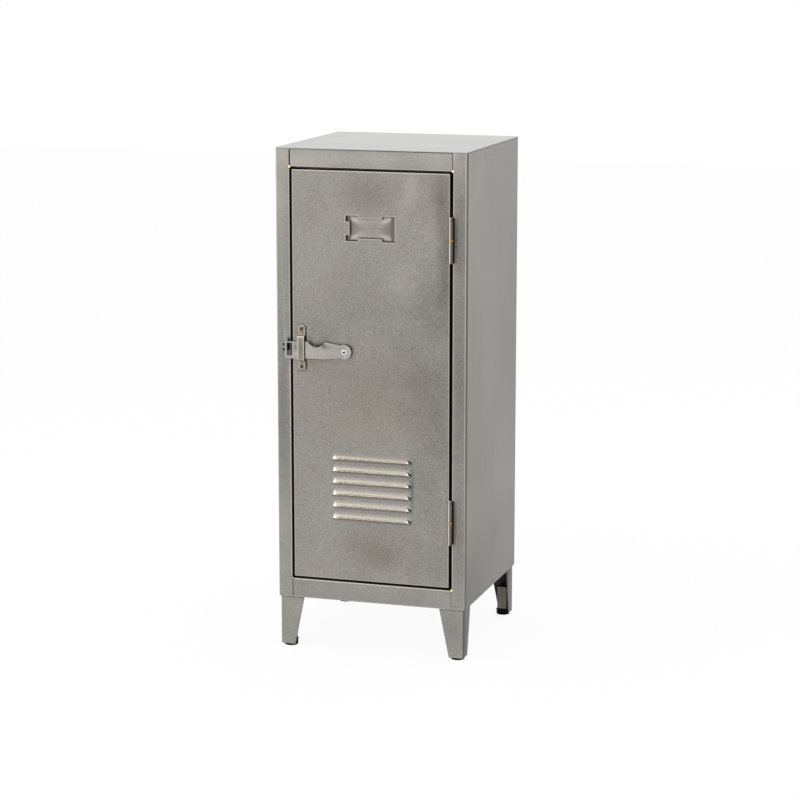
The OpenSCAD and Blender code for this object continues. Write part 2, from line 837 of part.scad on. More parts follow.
// Window of the card recess, less the three tabs that hold the card
module card_window() {
    difference() {
        box_2d(card_x0, card_z0, card_x0 + card_w, card_z1);
        for (z = [card_z0, card_z1])
            box_2d(door_mid - card_tab_w / 2, z - card_tab_h, door_mid + card_tab_w / 2, z + card_tab_h);
        box_2d(card_x0 - cut, (card_z0 + card_z1 - card_end_tab_h) / 2,
            card_x0 + card_end_tab_w, (card_z0 + card_z1 + card_end_tab_h) / 2);
    }
}

// Creased pillow on the floor of the card recess
module card_floor() {
    floor_out = -sheet_t - card_d;
    flat = card_pillow_flat;
    mid = [card_x0 + card_w / 2, (card_z0 + card_z1) / 2];
    hull() {
        on_face(floor_out - sheet_t / 2, floor_out)
            box_2d(card_x0, card_z0, card_x0 + card_w, card_z1);
        on_face(floor_out, floor_out + card_pillow)
            box_2d(mid.x - flat.x / 2, mid.y - flat.y / 2, mid.x + flat.x / 2, mid.y + flat.y / 2);
    }
}

// Side drawing of a hood, x outward and y up from the lip
module hood_2d(out, h) {
    r = (h * h + out * out) / (2 * out);
    intersection() {
        translate([out - r, 0]) circle(r, $fn = 256);
        square([out, h]);
    }
}

// Solid hood of one louvre with round ends, its lip at height 0, on the face, middle at x 0
module hood(out, h, len) {
    translate([out - len / 2, 0, 0]) rotate([90, 0, 90])
        linear_extrude(len - 2 * out) mirror([1, 0, 0]) hood_2d(out, h);
    for (side = [-1, 1])
        translate([side * (len / 2 - out), 0, 0])
            rotate(180) rotate_extrude(angle = 180) hood_2d(out, h);
}

// Runs once for each louvre, at its place on the face
module each_louvre() {
    for (i = [0 : louvre_count - 1])
        translate([left_x + door_mid + louvre_shift, face_y,
            body_z + door_z0 + louvre_rise + i * louvre_pitch])
            children();
}

// Folded door with its card recess and louvres
module door_panel() {
    lip = sheet_t + door_lip_w;
    slot_len = louvre_len - 2 * louvre_out;
    color("#8b8880")
    difference() {
        union() {
            difference() {
                door_block(0, door_d, bend_r);
                door_block(sheet_t, door_d - sheet_t, fold_r);
                on_face(-door_d - cut, -door_d + 2 * sheet_t)
                    box_2d(door_x0 + lip, door_z0 + lip, door_x1 - lip, door_z1 - lip);
            }
            on_face(-2 * sheet_t - card_d, -sheet_t / 2)
                box_2d(card_x0 - sheet_t, card_z0 - sheet_t, card_x0 + card_w + sheet_t, card_z1 + sheet_t);
            each_louvre() hood(louvre_out, louvre_h, louvre_len);
        }
        on_face(-sheet_t - card_d, -sheet_t)
            box_2d(card_x0, card_z0, card_x0 + card_w, card_z1);
        on_face(-sheet_t - cut / 2, cut) card_window();
        each_louvre() {
            hood(louvre_out - sheet_t, louvre_h - sheet_t, louvre_len - 2 * sheet_t);
            translate([-slot_len / 2, -cut / 2, 0])
                cube([slot_len, sheet_t + cut, louvre_h - 2 * sheet_t]);
        }
        on_face(-sheet_t - cut, cut) {
            translate([pivot_x, pivot_z]) circle(rivet_r + rivet_seat_play);
            for (z = guide_rivet_z)
                translate([guide_x, z]) circle(guide_rivet_r + rivet_seat_play);
        }
    }
    color("#a5a198") card_floor();
}

// Doubling plate inside the door that spreads the load of the latch
module latch_backing_plate() {
    m = backing_margin;
    color("#7d7a73")
    on_face(-2 * sheet_t, -sheet_t)
        difference() {
            box_2d(guide_x - m, guide_rivet_z[1] - m, pivot_x + m, guide_rivet_z[0] + m);
            translate([pivot_x, pivot_z]) circle(rivet_r + rivet_seat_play);
            for (z = guide_rivet_z)
                translate([guide_x, z]) circle(guide_rivet_r + rivet_seat_play);
        }
}

// Front outline of the guide strap, with round corners
module guide_outline() {
    rounded_2d(guide_x - guide_w / 2, pivot_z - guide_bottom,
        guide_x + guide_w / 2, pivot_z + guide_top, guide_corner_r);
}

// Half of the strap's side drawing, from the middle of the bridge to one end; x is outward
module guide_half_2d(bridge_end, foot_end) {
    r = guide_bend_r;
    t = guide_t;
    box_2d(bridge_in, -cut, bridge_out, bridge_end - r);
    bend(bridge_out - r, bridge_end - r, 0, r, t);
    box_2d(r, bridge_end - t, bridge_out - r, bridge_end);
    bend(r, bridge_end - t + r, 2, r, t);
    box_2d(0, bridge_end - t + r, t, foot_end);
}

// Joggled strap that the lever slides up and down in
module latch_guide() {
    color("#a3a098")
    difference() {
        intersection() {
            along_x(guide_x - guide_w / 2, guide_x + guide_w / 2)
                translate([0, pivot_z]) mirror([1, 0, 0]) {
                    guide_half_2d(guide_hi - pivot_z, guide_top);
                    mirror([0, 1, 0]) guide_half_2d(pivot_z - guide_lo, guide_bottom);
                }
            on_face(-cut, bridge_out + cut) guide_outline();
        }
        on_face(-cut, bridge_out + cut)
            for (z = guide_rivet_z)
                translate([guide_x, z]) circle(guide_rivet_r + rivet_seat_play);
    }
}

// Tubular rivet from behind the door out to a given place, drawn round its own axis
module tube_rivet(x, z, seat, shank_r, head, head_r, hole_r) {
    tail = 2 * sheet_t;
    translate([left_x + x, face_y, body_z + z])
        rotate([90, 0, 0])
            difference() {
                union() {
                    translate([0, 0, -tail - head]) cylinder(h = tail + head + seat, r = shank_r);
                    translate([0, 0, -tail - head]) cylinder(h = head, r = head_r);
                    translate([0, 0, seat]) cylinder(h = head / 2, r = head_r);
                    translate([0, 0, seat + head / 2])
                        cylinder(h = head / 2, r1 = head_r, r2 = (head_r + hole_r) / 2);
                }
                translate([0, 0, -tail - head - cut])
                    cylinder(h = tail + seat + 2 * head + 2 * cut, r = hole_r);
            }
}

module guide_rivets() {
    color("#8d8a83")
    for (z = guide_rivet_z)
        tube_rivet(guide_x, z, guide_t, guide_rivet_r, guide_rivet_head_h,
            guide_rivet_head_r, guide_rivet_hole_r);
}

module latch_pivot_rivet() {
    color("#d8dadb")
    tube_rivet(pivot_x, pivot_z, lever_front + lever_play, rivet_r, rivet_head_h,
        rivet_head_r, rivet_hole_r);
}

// Ring that holds the lever off the door
module latch_spacer() {
    color("#8d8a83")
    on_face(0, lever_back - lever_play)
        translate([pivot_x, pivot_z])
            difference() {
                circle(spacer_r);
                circle(rivet_r + rivet_seat_play);
            }
}

// Front outline of the lever, x outward from the pivot to its end, y up
module lever_2d() {
    end = pivot_x - lever_x0;
    corner_r = lever_corner_r;
    difference() {
        union() {
            circle(head_r);
            polygon([
                neck_top,
                [hump_reach, lever_up + hump_rise],
                [end - corner_r, lever_up],
                [end - corner_r, -lever_down],
                [belly_reach, -lever_down],
                neck_bottom
            ]);
            box_2d(end - 2 * corner_r, corner_r - lever_down, end, lever_up - corner_r);
            for (y = [lever_up - corner_r, corner_r - lever_down])
                translate([end - corner_r, y]) circle(corner_r);
        }
        translate([notch_reach, notch_floor + notch_r]) circle(notch_r);
        box_2d(pivot_x - slot_x1, -slot_down, pivot_x - slot_x0, slot_up);
        circle(rivet_r + rivet_play);
    }
}

// Thumb tab folded out from the floor of the notch, x outward from the face and y up
module tab_2d() {
    r = tab_fold_r + lever_t;
    base = notch_floor - tab_fold_r;
    box_2d(lever_back, base - lever_t, lever_front, base);
    bend(lever_back + r, base, 1, r, lever_t);
    box_2d(lever_back + r, base + tab_fold_r, tab_out, base + r);
}

// Lever plate with its slot, head and thumb tab
module latch_lever() {
    tab_x0 = pivot_x - notch_reach - tab_w / 2;
    tab_corner = tab_w / 4;
    color("#aaa8a1") {
        on_face(lever_back, lever_front)
            translate([pivot_x, pivot_z]) mirror([1, 0, 0]) lever_2d();
        intersection() {
            along_x(tab_x0, tab_x0 + tab_w)
                translate([0, pivot_z]) mirror([1, 0, 0]) tab_2d();
            along_z(pivot_z - lever_down, pivot_z + 2 * lever_up)
                rounded_2d(tab_x0, -tab_out, tab_x0 + tab_w, 0, tab_corner);
        }
    }
}

left_side_panel();
right_side_panel();
back_panel();
top_panel();
bottom_panel();
top_rail();
bottom_rail();
shelf();
left_shelf_rail();
right_shelf_rail();
front_left_leg();
front_right_leg();
back_left_leg();
back_right_leg();
front_left_foot_socket();
front_right_foot_socket();
back_left_foot_socket();
back_right_foot_socket();
front_left_foot();
front_right_foot();
back_left_foot();
back_right_foot();
braze_beads();
door_buffers();
keeper_hook();
keeper_rivets();
upper_frame_knuckle();
lower_frame_knuckle();
upper_hinge_pin();
lower_hinge_pin();
upper_hinge_washer();
lower_hinge_washer();
door_panel();
latch_backing_plate();
upper_door_knuckle();
lower_door_knuckle();
latch_guide();
guide_rivets();
latch_spacer();
latch_pivot_rivet();
latch_lever();
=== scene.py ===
"""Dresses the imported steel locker: camera, studio, steel finishes, and the pieces that the plain solids lack.

Lengths are metres in the part's own frame: +Z is up, the door faces -Y, and +X is to the right.
"""

from math import ceil, cos, exp, hypot, log, pi, radians, sin

import bmesh
import bpy
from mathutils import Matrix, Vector


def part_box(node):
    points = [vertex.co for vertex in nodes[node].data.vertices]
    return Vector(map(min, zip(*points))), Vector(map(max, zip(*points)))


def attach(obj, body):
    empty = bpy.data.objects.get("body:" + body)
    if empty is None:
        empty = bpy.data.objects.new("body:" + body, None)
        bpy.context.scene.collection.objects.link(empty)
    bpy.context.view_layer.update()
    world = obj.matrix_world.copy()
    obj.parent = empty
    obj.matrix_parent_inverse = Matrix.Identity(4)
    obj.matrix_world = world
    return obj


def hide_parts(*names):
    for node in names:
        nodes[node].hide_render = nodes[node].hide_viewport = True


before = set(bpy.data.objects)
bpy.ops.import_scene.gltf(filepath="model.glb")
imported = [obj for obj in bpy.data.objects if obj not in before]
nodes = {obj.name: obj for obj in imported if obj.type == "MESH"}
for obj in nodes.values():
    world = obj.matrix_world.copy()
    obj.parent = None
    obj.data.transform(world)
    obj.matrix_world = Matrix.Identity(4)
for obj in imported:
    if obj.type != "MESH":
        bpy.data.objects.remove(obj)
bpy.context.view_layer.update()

MM = 0.001


# ---- sizes that the pieces share

door_low, door_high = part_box("door_panel")
body_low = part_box("left_side_panel")[0]
frame_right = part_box("right_side_panel")[1][0]
face_y = body_low[1]
body_bottom = body_low[2]
body_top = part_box("top_panel")[1][2]

SHEET = 1.2 * MM
FOLD = 2.0 * MM
DOOR_DEPTH = 18 * MM
DOOR_LIP = 11.2 * MM
LATCH_STILE = 23 * MM
HINGE_STILE = 22 * MM

door_left, door_right = door_low[0], door_high[0]
door_bottom, door_top = door_low[2], door_high[2]
door_middle = (door_left + door_right) / 2

CARD_WIDTH = 80 * MM
CARD_HEIGHT = 39.9 * MM
CARD_DROP = 69.3 * MM
CARD_DEPTH = 4.6 * MM
CARD_TAB = (39 * MM, 4.6 * MM)
CARD_END_TAB = (6.5 * MM, 21 * MM)
card_left = door_middle - CARD_WIDTH / 2
card_top = door_top - CARD_DROP
card_bottom = card_top - CARD_HEIGHT

LOUVRES = 6
LOUVRE_PITCH = 19.1 * MM
LOUVRE_LENGTH = 130 * MM
LOUVRE_OUT = 4.2 * MM
LOUVRE_HEIGHT = 11 * MM
LOUVRE_END = 7 * MM
LOUVRE_RISE = 101 * MM
LOUVRE_SHIFT = 2.2 * MM
LIP_GAP = 0.8 * MM
RIM = 0.9 * MM

louvre_x = door_middle + LOUVRE_SHIFT
louvre_z = door_bottom + LOUVRE_RISE

GAP_ROUND = 3.3 * MM
opening_left, opening_right = body_low[0] + LATCH_STILE, frame_right - HINGE_STILE
opening_low, opening_high = door_bottom - GAP_ROUND, door_top + GAP_ROUND
opening_middle = (opening_left + opening_right) / 2
SEAM_X = (opening_right - opening_left) / 2 - 0.2 * MM


def at_body(x, z):
    """A place on the face, given in millimetres from the body's left side and its bottom."""
    return (body_low[0] + x * MM, face_y, body_bottom + z * MM)


# ---- objects and the camera

def new_object(name, data):
    """An object in the scene, at the origin."""
    made = bpy.data.objects.new(name, data)
    bpy.context.scene.collection.objects.link(made)
    return made


def make_camera():
    """The photograph's view, from the front right and a little above."""
    target = Vector((0.0006, 0.0065, 0.3837))
    azimuth, elevation, distance = radians(17.41), radians(10.86), 4.061
    away = Vector((sin(azimuth) * cos(elevation),
                   -cos(azimuth) * cos(elevation),
                   sin(elevation)))
    data = bpy.data.cameras.new("camera")
    data.sensor_width = 36
    data.lens = 112.5
    data.clip_end = 50
    camera = new_object("camera", data)
    camera.location = target + distance * away
    camera.rotation_euler = (-away).to_track_quat("-Z", "Y").to_euler()
    bpy.context.scene.camera = camera


make_camera()


# ---- node helpers

def spaced(values):
    """The same values under their sockets' titles, which have a space for each _."""
    return {title.replace("_", " "): value for title, value in values.items()}


def rgb(red, green, blue):
    """A colour given as 0 to 255 on screen, as Blender's linear colour."""
    def linear(value):
        value /= 255
        return value / 12.92 if value <= 0.04045 else ((value + 0.055) / 1.055) ** 2.4
    return (linear(red), linear(green), linear(blue), 1.0)


class Graph:
    """Adds nodes to a tree, and gives their sockets values or links."""

    def __init__(self, tree):
        self.tree = tree

    def give(self, socket, value):
        if isinstance(value, bpy.types.NodeSocket):
            self.tree.links.new(value, socket)
        else:
            socket.default_value = value

    def add(self, kind, sockets=None, **settings):
        made = self.tree.nodes.new(kind)
        for name, value in settings.items():
            setattr(made, name, value)
        for name, value in (sockets or {}).items():
            self.give(made.inputs[name], value)
        return made

    def first(self, kind, **values):
        """Adds a node, and returns its first output."""
        return self.add(kind, spaced(values)).outputs[0]

    def use(self, group, **values):
        """Places a shader group, and returns its outputs."""
        return self.add("ShaderNodeGroup", spaced(values), node_tree=group).outputs

    def math(self, operation, *values):
        return self.add("ShaderNodeMath", dict(enumerate(values)), operation=operation).outputs[0]

    def minus(self, first, second):
        return self.math("SUBTRACT", first, second)

    def over(self, first, second):
        return self.math("DIVIDE", first, second)

    def product(self, first, *others):
        for other in others:
            first = self.math("MULTIPLY", first, other)
        return first

    def apart(self, first, second):
        """How far two values are apart."""
        return self.math("ABSOLUTE", self.minus(first, second))

    def vector(self, operation, *values):
        made = self.add("ShaderNodeVectorMath", dict(enumerate(values)), operation=operation)
        return made.outputs["Value" if operation in ("LENGTH", "DOT_PRODUCT") else "Vector"]

    def xyz(self, x=0.0, y=0.0, z=0.0):
        return self.first("ShaderNodeCombineXYZ", X=x, Y=y, Z=z)

    def parts(self, vector):
        return self.add("ShaderNodeSeparateXYZ", {"Vector": vector}).outputs

    def place(self):
        """Where a point lies in the part's own frame."""
        return self.add("ShaderNodeTexCoord").outputs["Object"]

    def mapped(self, vector, **values):
        return self.first("ShaderNodeMapping", Vector=vector, **values)

    def noise(self, vector, scale, detail, roughness=0.5):
        return self.first("ShaderNodeTexNoise", Vector=vector, Scale=scale, Detail=detail,
                          Roughness=roughness)

    def mix(self, factor, first, second, blend="MIX"):
        return self.add("ShaderNodeMix", {0: factor, 6: first, 7: second}, data_type="RGBA",
                        blend_type=blend).outputs[2]

    # Mixes in tints: real stains, and also painted shade and painted highlights.
    def tinted(self, colour, *tints):
        """A colour changed to each tint in turn, as far as the product of its amounts says."""
        for tint, *amounts in tints:
            colour = self.mix(self.product(*amounts), colour, tint)
        return colour

    def ramp(self, value, low, high, to_low=0.0, to_high=1.0, smooth=False):
        sockets = {"Value": value, "From Min": low, "From Max": high, "To Min": to_low, "To Max": to_high}
        return self.add("ShaderNodeMapRange", sockets,
                        interpolation_type="SMOOTHSTEP" if smooth else "LINEAR").outputs["Result"]

    def fade(self, value, low, high, smooth=False):
        """A ramp that falls from 1 to 0."""
        return self.ramp(value, low, high, 1.0, 0.0, smooth)


class Group(Graph):
    """A shader node group; its inputs are given with their plain values, where three numbers are a vector."""

    def __init__(self, name, outputs, **inputs):
        super().__init__(bpy.data.node_groups.new(name, "ShaderNodeTree"))
        add_socket = self.tree.interface.new_socket
        for title, value in spaced(inputs).items():
            kind = "NodeSocketVector" if isinstance(value, tuple) else "NodeSocketFloat"
            add_socket(title, in_out="INPUT", socket_type=kind).default_value = value
        for title in outputs:
            add_socket(title, in_out="OUTPUT", socket_type="NodeSocketFloat")
        self.given = self.add("NodeGroupInput").outputs
        self.out = self.add("NodeGroupOutput").inputs

    def end(self, *values):
        """Puts out a value at each output, in their order, and returns the group."""
        for socket, value in zip(self.out, values):
            self.tree.links.new(value, socket)
        return self.tree


# ---- shader groups

def make_sanding():
    """Short strokes of a hand sander, most of them rising to the right, with long faint ones between them."""
    g = Group("Sanding strokes", ["Strokes"], Stroke_Length=1.9 * MM, Stroke_Width=0.55 * MM)
    place = g.place()
    across = g.over(1.0, g.given["Stroke Width"])
    squeeze = g.xyz(across, across, g.over(1.0, g.given["Stroke Length"]))
    layers = []
    for angle, offset, scale in ((40, 0.0, 1.0), (-46, 3.1, 1.0), (-49, 7.3, 0.28)):
        slanted = g.mapped(place, Location=(offset, 0, offset), Rotation=(0, radians(angle), 0))
        layers.append(g.ramp(g.noise(g.vector("MULTIPLY", slanted, squeeze), scale, 1.0, 0.7), 0.34, 0.66))
    where = g.noise(place, 60.0, 1.0)
    rising = g.product(layers[0], g.ramp(where, 0.42, 0.58, 0.45, 0.15))
    falling = g.product(layers[1], g.ramp(where, 0.42, 0.58, 0.45, 0.75))
    return g.end(g.math("MULTIPLY_ADD", layers[2], 0.06, g.math("ADD", rising, falling)))


def make_clouds():
    """Soft patches of tarnish under the lacquer, and smaller brown stains."""
    g = Group("Tarnish clouds", ["Clouds", "Stains"], Shift=(0, 0, 0), Cloud_Size=120 * MM,
              Stain_Size=34 * MM)
    moved = g.mapped(g.place(), Location=g.given["Shift"])
    broad = g.noise(moved, g.over(1.0, g.given["Cloud Size"]), 2.0, 0.4)
    small = g.noise(moved, g.over(1.0, g.given["Stain Size"]), 3.0)
    return g.end(g.ramp(broad, 0.3, 0.7, smooth=True), g.ramp(small, 0.55, 0.8, smooth=True))


def make_grain():
    """Long brushed lines that run along Z, in fine and broad bands."""
    g = Group("Brushed grain", ["Lines", "Bands"], Turn=(0, 0, 0), Line_Width=1.5 * MM, Line_Length=120 * MM)
    turned = g.mapped(g.place(), Rotation=g.given["Turn"])
    found = []
    for widen in (1.0, 11.0):
        across = g.over(1.0 / widen, g.given["Line Width"])
        along = g.over(1.0 / widen ** 0.5, g.given["Line Length"])
        found.append(g.noise(g.vector("MULTIPLY", turned, g.xyz(across, across, along)), 1.0, 3.0))
    return g.end(g.ramp(found[0], 0.3, 0.7), g.ramp(found[1], 0.3, 0.7, smooth=True))


def make_patch():
    """A soft ragged patch round a place, 1 in its middle and 0 beyond its reach."""
    g = Group("Soft patch", ["Patch"], Middle=(0, 0, 0), Reach=(0.05, 1.0, 0.05), Ragged=0.35)
    place = g.place()
    off = g.vector("DIVIDE", g.vector("SUBTRACT", place, g.given["Middle"]), g.given["Reach"])
    uneven = g.minus(g.noise(place, 38.0, 2.0), 0.5)
    away = g.math("MULTIPLY_ADD", uneven, g.given["Ragged"], g.vector("LENGTH", off))
    return g.end(g.fade(away, 0.0, 1.0, smooth=True))


def make_facing():
    """Masks by the way a surface faces: front or back, either side, in towards the locker's middle, and on a
    barrel its left, its right and a line between."""
    g = Group("Facing", ["Flat On", "Sideways", "Inward", "Left", "Right", "Line"])
    coordinates = g.add("ShaderNodeTexCoord").outputs
    normal = g.parts(coordinates["Normal"])
    around = g.vector("MULTIPLY", coordinates["Object"], (1, 1, 0))
    outward = g.vector("DOT_PRODUCT", around, coordinates["Normal"])
    return g.end(g.ramp(g.math("ABSOLUTE", normal["Y"]), 0.5, 0.85),
                 g.ramp(g.math("ABSOLUTE", normal["X"]), 0.55, 0.9),
                 g.ramp(outward, -0.004, -0.03),
                 g.fade(g.apart(normal["X"], -0.26), 0.07, 0.24),
                 g.ramp(normal["X"], 0.88, 0.97),
                 g.fade(g.apart(normal["X"], 0.56), 0.1, 0.19))


def make_depth():
    """How far a place lies behind the face, and how near it is to a given width or height."""
    g = Group("Depth and lines", ["Depth", "Beside", "Level"], Middle_X=0.0, Half_Width=0.1, Height=0.5,
              Fine=0.4 * MM, Soft=0.9 * MM)
    given, at = g.given, g.parts(g.place())
    beside = g.apart(g.apart(at["X"], given["Middle X"]), given["Half Width"])
    level = g.apart(at["Z"], given["Height"])
    return g.end(g.minus(at["Y"], face_y), g.fade(beside, given["Fine"], given["Soft"]),
                 g.fade(level, given["Fine"], given["Soft"]))


def make_ring():
    """A soft line on a circle that is drawn on the face; with no radius it is a dot."""
    g = Group("Ring line", ["Ring"], Middle=(0, 0, 0), Radius=0.0, Fine=0.6 * MM, Soft=1.4 * MM)
    flat = g.vector("MULTIPLY", g.vector("SUBTRACT", g.place(), g.given["Middle"]), (1, 0, 1))
    off = g.apart(g.vector("LENGTH", flat), g.given["Radius"])
    return g.end(g.fade(off, g.given["Fine"], g.given["Soft"]))


def make_bar():
    """A painted bar of light or shade, upright or flat, with soft edges, 1 inside it."""
    g = Group("Painted bar", ["Shade"], Middle=(0, 0, 0), Half_Size=(0.001, 0, 0.001), Soft=1.0 * MM)
    off = g.vector("ABSOLUTE", g.vector("SUBTRACT", g.place(), g.given["Middle"]))
    beyond = g.vector("MAXIMUM", g.vector("SUBTRACT", off, g.given["Half Size"]), (0, 0, 0))
    flat = g.vector("LENGTH", g.vector("MULTIPLY", beyond, (1, 0, 1)))
    return g.end(g.fade(flat, 0.0, g.given["Soft"]))


sanding = make_sanding()
ring_line = make_ring()
painted_bar = make_bar()
clouds = make_clouds()
grain = make_grain()
patch = make_patch()
facing = make_facing()
depth_lines = make_depth()


# ---- materials

METAL = 0.7


class Surface(Graph):
    """A material's tree, with a Principled shader whose plain values are set on its own sockets."""

    def __init__(self, name, metallic=METAL, specular=0.5):
        self.material = bpy.data.materials.new(name)
        self.material.use_nodes = True
        super().__init__(self.material.node_tree)
        self.shader = self.tree.nodes["Principled BSDF"].inputs
        self.shader["Metallic"].default_value = metallic
        self.shader["Specular IOR Level"].default_value = specular

    def finish(self, colour, height, roughness, relief=0.02 * MM, spread=(0.05, -0.05)):
        """Links the colour, and the gloss and bump that follow the height, and returns the material."""
        gloss = self.ramp(height, 0.0, 1.0, roughness + spread[0], roughness + spread[1])
        bump = self.first("ShaderNodeBump", Height=height, Distance=relief, Strength=0.5)
        for title, value in (("Base Color", colour), ("Roughness", gloss), ("Normal", bump)):
            self.tree.links.new(value, self.shader[title])
        return self.material

    def attribute(self, name):
        return self.add("ShaderNodeAttribute", attribute_name=name).outputs["Fac"]

    def toned(self, colour, tone):
        """A colour made lighter or darker by a tone, where 1 leaves it as it is."""
        grey = self.first("ShaderNodeCombineColor", Red=tone, Green=tone, Blue=tone)
        return self.mix(1.0, colour, grey, "MULTIPLY")

    def spot(self, middle, reach, **values):
        return self.use(patch, Middle=middle, Reach=reach, **values)["Patch"]

    def face_spot(self, x, z, reach_x, reach_z):
        """A soft patch on the face, in millimetres."""
        return self.spot(at_body(x, z), (reach_x * MM, 1.0, reach_z * MM))

    def patched(self, tone, patches):
        """Adds soft patches to a tone; each is (x, z, reach in x, reach in z, amount), on the face."""
        for *where, amount in patches:
            tone = self.math("MULTIPLY_ADD", self.face_spot(*where), amount, tone)
        return tone

    def bars(self, colour, bars):
        """Paints bars of light or shade on the face, each (x, z, half width, half height, soft edge, amount,
        tint).
        """
        for x, z, half_x, half_z, soft, amount, tint in bars:
            bar = self.use(painted_bar, Middle=at_body(x, z), Half_Size=(half_x * MM, 0, half_z * MM),
                           Soft=soft * MM)
            colour = self.tinted(colour, (tint, bar["Shade"], amount))
        return colour

    def rings(self, colour, rings):
        """Draws rings, each (middle, radius, reach, amount, tint), a dot where the radius is 0."""
        for middle, radius, reach, amount, tint in rings:
            ring = self.use(ring_line, Middle=middle, Radius=radius, Fine=0.6 * reach, Soft=reach)
            colour = self.tinted(colour, (tint, ring["Ring"], amount))
        return colour

    def level(self, height, fine=0.4 * MM, soft=1.0 * MM):
        """A line at a height."""
        return self.use(depth_lines, Height=height, Fine=fine, Soft=soft)["Level"]

    def beside(self, half_width, fine=0.4 * MM, soft=1.0 * MM, middle=0.0):
        """Two upright lines, as far as the half width from the middle."""
        return self.use(depth_lines, Middle_X=middle, Half_Width=half_width, Fine=fine, Soft=soft)["Beside"]

    def depth(self):
        """How far a point lies behind the face."""
        return self.use(depth_lines)["Depth"]

    def sanded(self, light, dark, tint, stroke, shift=(0, 0, 0), cloud=1.0, cloud_size=120 * MM, patches=()):
        """The colour of steel sanded by hand and tarnished under its lacquer, with its strokes' height."""
        strokes = self.use(sanding)["Strokes"]
        tarnish = self.use(clouds, Shift=shift, Cloud_Size=cloud_size)
        level = self.math("MULTIPLY_ADD", tarnish["Clouds"], 0.9 * cloud, 0.5 - 0.45 * cloud)
        colour = self.tinted(self.mix(level, dark, light), (tint, tarnish["Stains"], 0.4 * cloud))
        tone = self.ramp(strokes, 0.0, 1.0, 1.0 - stroke, 1.0 + stroke)
        return self.toned(colour, self.patched(tone, patches)), strokes

    def brushed(self, light, dark, turn=(0, 0, 0), lines=0.05, bands=0.5, width=1.5 * MM, length=120 * MM):
        """The colour of steel with long brushed lines in one direction, with the lines' height."""
        brushed = self.use(grain, Turn=turn, Line_Width=width, Line_Length=length)
        tarnish = self.use(clouds, Shift=(0.7, 0.2, 0.4), Cloud_Size=160 * MM)
        level = self.math("ADD", self.product(brushed["Bands"], bands),
                          self.product(tarnish["Clouds"], 1 - bands))
        tone = self.ramp(brushed["Lines"], 0.0, 1.0, 1.0 - lines, 1.0 + lines)
        return self.toned(self.mix(level, dark, light), tone), brushed["Lines"]


def make_door_steel():
    """Sanded steel with the door's own tarnish, painted highlights on its folds, and painted shade beside the
    strap, round the lever's head, under the louvres' lips and where the sheet turns away.
    """
    g = Surface("door steel")
    colour, strokes = g.sanded(rgb(161, 157, 151), rgb(147, 143, 137), rgb(137, 127, 113), 0.36, cloud=0.45,
                               patches=DOOR_PATCHES)
    for *where, amount in DOOR_TINTS:
        colour = g.tinted(colour, (rgb(130, 119, 92), g.face_spot(*where), amount))
    colour = g.bars(colour, STRAP_SHADE)
    # Painted shadow on the door to the right of the lever's head.
    aside = g.ramp(g.parts(g.place())["X"], PIVOT[0], PIVOT[0] + 8 * MM)
    under = g.use(ring_line, Middle=(PIVOT[0] - 1 * MM, PIVOT[1], PIVOT[2]), Radius=12.2 * MM,
                  Fine=0.4 * MM, Soft=1.3 * MM)["Ring"]
    colour = g.tinted(colour, (SHADOW_BLACK, under, aside, 0.7), (rgb(226, 222, 214), g.attribute("highlight"), 0.9),
                     (rgb(30, 26, 22), g.attribute("painted_shade")))
    # Painted shade behind the face: the door's inside greyer, and nearly black where the sheet faces sideways
    # into the gaps.
    inner = g.mix(0.7, colour, rgb(112, 107, 100))
    behind = g.mix(g.use(facing)["Flat On"], rgb(34, 30, 27), inner)
    return g.finish(g.tinted(colour, (behind, g.ramp(g.depth(), 0.3 * MM, 0.9 * MM))), strokes, 0.42)


